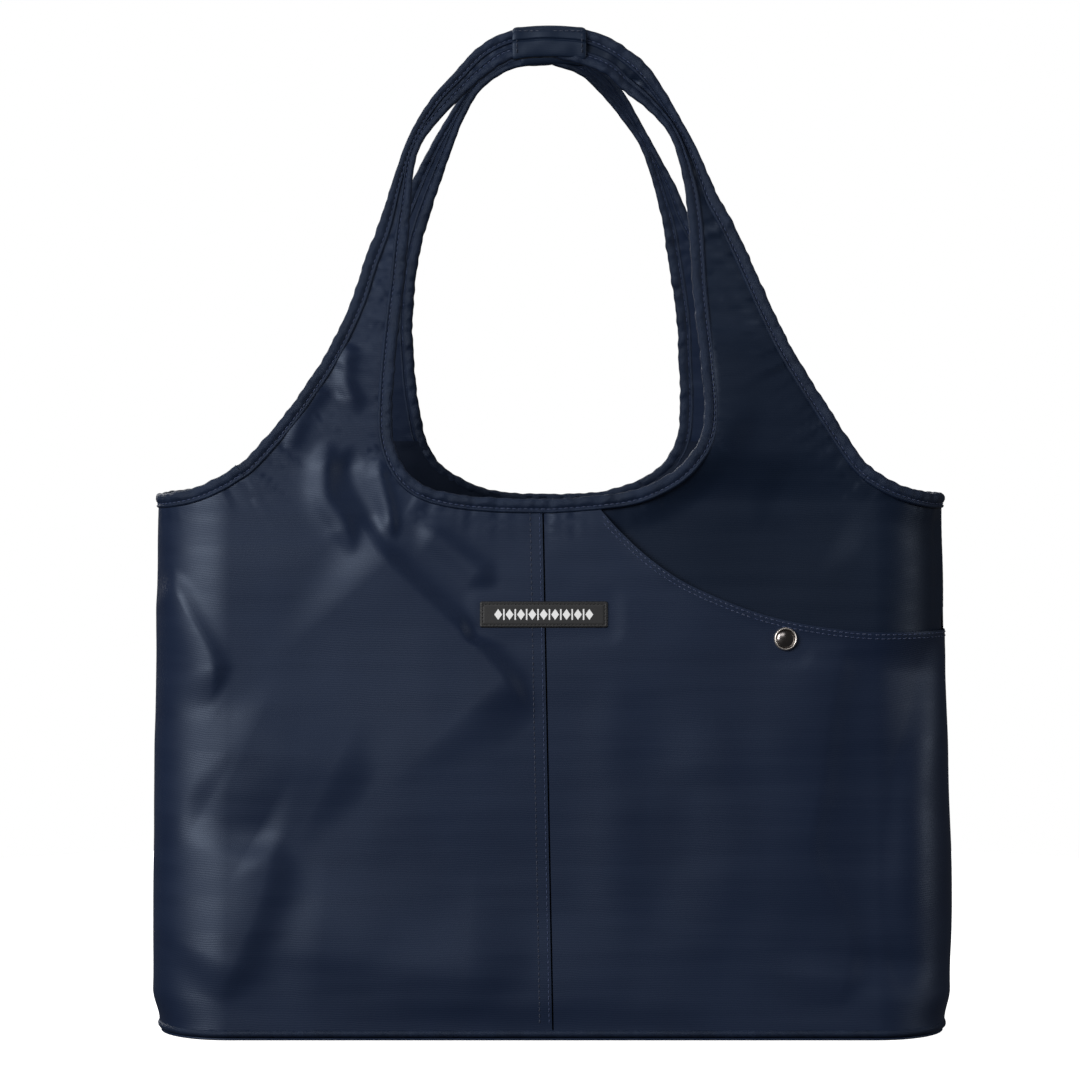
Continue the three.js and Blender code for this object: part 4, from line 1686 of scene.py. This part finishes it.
@dataclass
class Base:
    """The bottom: cloth, stiff board, lining and piping, each in a front and a back half."""

    finishes: Finishes
    spacing: float = 5 * MM
    cord_steps: int = 430
    cord_corners: int = 14

    def outline(self, half: Half, node: str) -> Array:
        """Half of a rounded rectangle on the ground, from the middle fold outwards."""
        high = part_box(node)[1]
        radius = BODY.corner - (BODY.half_width - high.x)
        turn = np.linspace(0, math.pi / 2, 14)
        x, y = high.x - radius + radius * np.cos(turn), high.y - radius + radius * np.sin(turn)
        right = np.stack([x, y], 1)
        left = (right * (-1, 1))[::-1]
        outline = joined(np.array([[high.x, 0], right[0]]), right, np.array([right[-1], left[0]]), left,
                         np.array([left[-1], [-high.x, 0]]), spacing=self.spacing)
        return outline * (1, half.value)

    def slab(self, half: Half, name: str, node: str, finish: bpy.types.Material,
             seed: int) -> tuple[bpy.types.Object, Array]:
        """Makes one flat layer of one half.

        Args:
            half: Which half.
            name: Name of the piece.
            node: Node that gives its size.
            finish: Material of the piece.
            seed: Seed of its unevenness.

        Returns:
            The piece and its outline.
        """
        low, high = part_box(node)
        outline = self.outline(half, node)
        flat, faces = triangulate(outline, self.spacing)
        wave = Noise(35 * MM, 1.0, seed)(flat[:, 0], flat[:, 1])
        edge, _ = nearest(flat, outline)
        crown = smooth(edge, 0, 3 * MM)
        top = np.column_stack([flat, high.z - 0.25 * MM * (1 - crown)])
        bottom = np.column_stack([flat, low.z + 0.3 * MM * (1 - crown) + 0.12 * MM * (wave + 1) * crown])
        corners = np.array(faces)
        a, b, c = (flat[corners[:, i]] for i in range(3))
        turned = (b - a)[:, 0] * (c - a)[:, 1] - (b - a)[:, 1] * (c - a)[:, 0] < 0
        corners[turned] = corners[turned][:, ::-1]
        piece = link(name, np.vstack([top, bottom]), skin_faces(corners, len(flat)), finish)
        hand_over(piece, node)
        return piece, outline

    def piping(self, half: Half) -> None:
        """Makes the corded edge of one half."""
        low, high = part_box("base_piping")
        radius = (high.z - low.z) / 2
        centre = (high.z + low.z) / 2
        inset = high.x - radius - BODY.half_width
        end = float(BODY.side_fold(centre))
        run = np.linspace(-end, end, self.cord_steps)
        ripple = 1 + 0.05 * waves(run, (6 * MM, 10 * MM, 17 * MM), 31 + half.value)
        ripple = 1 + (ripple - 1) * smooth(end - np.abs(run), 0, 10 * MM)
        angle = np.linspace(0, 2 * math.pi, self.cord_corners, endpoint=False)
        cord = radius * ripple
        rings = [half.place(run, centre + cord * math.sin(a), inset + cord * math.cos(a)) for a in angle]
        grid = np.stack(rings, 1)
        faces = ring_faces(*grid.shape[:2])
        if half is Half.FRONT:
            faces = [face[::-1] for face in faces]
        piece = link(f"base_piping_{half.body}", grid.reshape(-1, 3), faces, self.finishes.tape)
        hand_over(piece, "base_piping")
        lay_flat(piece, half)

    def build(self) -> None:
        """Makes the bottom's four layers."""
        for half in Half:
            name = half.body
            piece, outline = self.slab(half, f"base_cloth_{name}", "base_panel", self.finishes.shell, 61)
            declare(outline)
            lay_flat(piece, half)
            board, _ = self.slab(half, f"base_stiffener_{name}", "base_board", self.finishes.board, 62)
            lay_flat(board, half)
            self.piping(half)
            piece, outline = self.slab(half, f"base_inside_{name}", "base_lining", self.finishes.lining, 63)
            declare(outline)
            lay_flat(piece, half)


# ---------------------------------------------------------------- studio
@dataclass(frozen=True)
class Lamp:
    """A soft rectangular lamp."""

    name: str
    place: tuple[float, float, float]
    aim: tuple[float, float, float]
    width: float
    height: float
    power: float

    def hang(self) -> None:
        """Hangs the lamp."""
        light = bpy.data.lights.new(self.name, "AREA")
        light.shape = "RECTANGLE"
        light.size = self.width
        light.size_y = self.height
        light.energy = self.power
        lamp = bpy.data.objects.new(self.name, light)
        lamp.location = self.place
        lamp.rotation_euler = (Vector(self.aim) - Vector(self.place)).to_track_quat("-Z", "Y").to_euler()
        bpy.context.scene.collection.objects.link(lamp)


@dataclass
class Studio:
    """A white table, soft lamps and the camera."""

    eye: tuple[float, float, float] = (-0.0065, -2.0, 0.341)
    tilt: float = 2.205
    lens: float = 121.2
    sensor: float = 36
    room: float = 0.06
    table: float = 0.8
    glow: float = 1.1
    lamps: Sequence[Lamp] = (
        Lamp("key", (-1.5, -1.55, 0.95), (-0.08, 0, 0.2), 1.3, 1.1, 53),
        Lamp("front", (-0.5, -2.4, 1.5), (0, 0, 0.25), 0.9, 0.6, 7),
        Lamp("edge", (1.6, -0.6, 0.55), (0.2, 0, 0.15), 0.5, 1.0, 7),
        Lamp("top", (0, 0.3, 1.9), (0, 0, 0.3), 1.6, 1.0, 7),
        Lamp("back", (-1.3, 1.9, 1.3), (0, 0, 0.2), 1.0, 1.2, 26),
    )

    def build(self) -> None:
        """Sets everything up."""
        camera = bpy.data.cameras.new("camera")
        camera.lens = self.lens
        camera.sensor_width = self.sensor
        eye = bpy.data.objects.new("camera", camera)
        eye.location = self.eye
        eye.rotation_euler = (math.radians(90 - self.tilt), 0, 0)
        bpy.context.scene.collection.objects.link(eye)
        bpy.context.scene.camera = eye
        for lamp in self.lamps:
            lamp.hang()
        self.build_world()
        self.build_floor()

    def build_world(self) -> None:
        """Makes the white surroundings."""
        world = bpy.data.worlds.new("white")
        world.use_nodes = True
        nodes = Nodes(world.node_tree)
        seen = nodes.node("ShaderNodeLightPath", output="Is Camera Ray")
        values = {"Value": seen, "To Min": self.room, "To Max": 1.0}
        backdrop = world.node_tree.nodes["Background"]
        nodes.feed(backdrop.inputs["Color"], (1, 1, 1))
        nodes.feed(backdrop.inputs["Strength"], nodes.node("ShaderNodeMapRange", {}, values, "Result"))
        bpy.context.scene.world = world
        bpy.context.scene.view_settings.view_transform = "Standard"

    def build_floor(self) -> None:
        """Makes the white table."""
        shader = Shader("white_table")
        grain = shader.noise(shader.place(), 40, 3)
        white = shader.mix(grain, (0.9, 0.9, 0.9), (0.93, 0.93, 0.93))
        finish = shader.dress(
            Base_Color=white, Roughness=0.8, Emission_Color=white, Emission_Strength=self.glow,
        )
        turn = np.linspace(0, 2 * math.pi, 96, endpoint=False)
        rim = np.stack([self.table * np.cos(turn), self.table * np.sin(turn), 0 * turn], 1)
        table = link("table", rim, [list(range(len(rim)))], finish)
        table.visible_diffuse = False
        table.visible_glossy = False


# ---------------------------------------------------------------- the bag
FRONT_FOLDS = (
    Fold(((-121, 322), (-122, 304), (-121, 288), (-112, 274), (-107, 256)), 3.2, 6, 8),
    Fold(((-108, 318), (-108, 300), (-100, 284), (-92, 268)), -2.0, 6, 6),
    Fold(((-94, 312), (-91, 296), (-88, 284), (-85, 264)), 2.2, 4, 5),
    Fold(((-109, 374), (-111, 352), (-104, 332)), 1.8, 5, 5),
    Fold(((-120, 352), (-134, 334), (-142, 312)), 1.6, 5, 6),
    Fold(((-106, 276), (-88, 252), (-64, 229), (-34, 200), (-10, 168)), 4.4, 8, 42, 0.2),
    Fold(((-74, 276), (-50, 257), (-30, 240)), 2.2, 7, 7),
    Fold(((-208, 252), (-196, 227), (-182, 199), (-184, 176)), 3.4, 6, 18),
    Fold(((-196, 132), (-172, 112), (-146, 102)), -2.2, 20, 14),
    Fold(((-178, 176), (-140, 150), (-96, 136)), 2.2, 16, 26),
    Fold(((-148, 112), (-158, 70), (-180, 20)), 4.2, 13, 26),
    Fold(((-160, 52), (-80, 44), (-8, 40)), 3.0, 36, 20),
    Fold(((36, 274), (58, 292), (80, 312), (112, 344)), 2.6, 18, 12, 0.3),
    Fold(((108, 296), (138, 272), (168, 262)), -1.6, 14, 12),
    Fold(((66, 292), (86, 318), (90, 352), (84, 390)), 3.4, 7, 46, 0.3),
    Fold(((156, 214), (147, 170), (143, 137), (137, 97), (157, 54), (150, 16)), 1.8, 9, 34, 0.1),
    Fold(((208, 216), (193, 170), (181, 138), (176, 80), (186, 20)), -4.8, 16, 40, 0.12),
    Fold(((36, 200), (32, 130), (38, 40)), 1.0, 16, 16),
    Fold(((84, 180), (90, 110), (84, 40)), 1.0, 16, 20),
    Fold(((30, 520), (52, 507), (68, 490), (80, 466), (88, 442)), -2.6, 4, 4, 0.15),
)
BACK_FOLDS = (
    Fold(((-170, 250), (-120, 210), (-60, 190)), 2.4, 12, 20),
    Fold(((160, 260), (120, 200), (110, 120)), 2.8, 12, 20),
    Fold(((-140, 120), (-150, 70), (-176, 24)), 3.0, 14, 20),
    Fold(((30, 240), (20, 160), (40, 70)), 2.0, 20, 26),
    Fold(((-60, 110), (-20, 80), (40, 60)), -2.0, 14, 16),
    Fold(((118, 330), (104, 310), (92, 286)), 1.8, 6, 6),
    Fold(((-118, 330), (-104, 306), (-96, 280)), 1.8, 6, 6),
)


def puckers(outline: Outline, seed: int) -> list[Pucker]:
    """Gathers along the tapes of one half."""
    inside_edge = beside(outline.neck, outline.tape)
    return [
        Pucker(inside_edge, 0.5 * MM, 9 * MM, seed),
        Pucker(beside(outline.armhole_left, outline.tape), 0.7 * MM, 15 * MM, seed + 1),
        Pucker(beside(outline.armhole_right, outline.tape), 0.55 * MM, 12 * MM, seed + 2),
        Pucker(beside(outline.rim_left, outline.tape), 0.35 * MM, 8 * MM, seed + 3),
        Pucker(beside(outline.rim_right, outline.tape), 0.35 * MM, 8 * MM, seed + 4),
    ]


def main() -> None:
    """Builds the bag and its studio."""
    logging.basicConfig(level=logging.INFO, format="%(name)s %(message)s")
    Studio().build()
    finishes = Finishes()
    label_low, label_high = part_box("label_patch")
    snap_low, snap_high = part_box("snap_cap")
    calm = tuple(
        ((low.x + high.x) / 2, (low.z + high.z) / 2, high.x - low.x, high.z - low.z)
        for low, high in ((label_low, label_high), (snap_low, snap_high))
    )
    front = Drape(FRONT_FOLDS, puckers(FRONT_OUTLINE, 100), 11, calm)
    back = Drape(BACK_FOLDS, puckers(BACK_OUTLINE, 200), 23)
    FrontSide(Half.FRONT, FRONT_OUTLINE, front, finishes).build()
    BackSide(Half.BACK, BACK_OUTLINE, back, finishes).build()
    Label(finishes).build()
    Snap(finishes).build()
    Wrap(Half.FRONT, finishes, 526.4 * MM, 543.4 * MM).build()
    Wrap(Half.BACK, finishes, 527 * MM, 539 * MM, seed=8).build()
    Base(finishes).build()


if __name__ == "__main__":
    main()
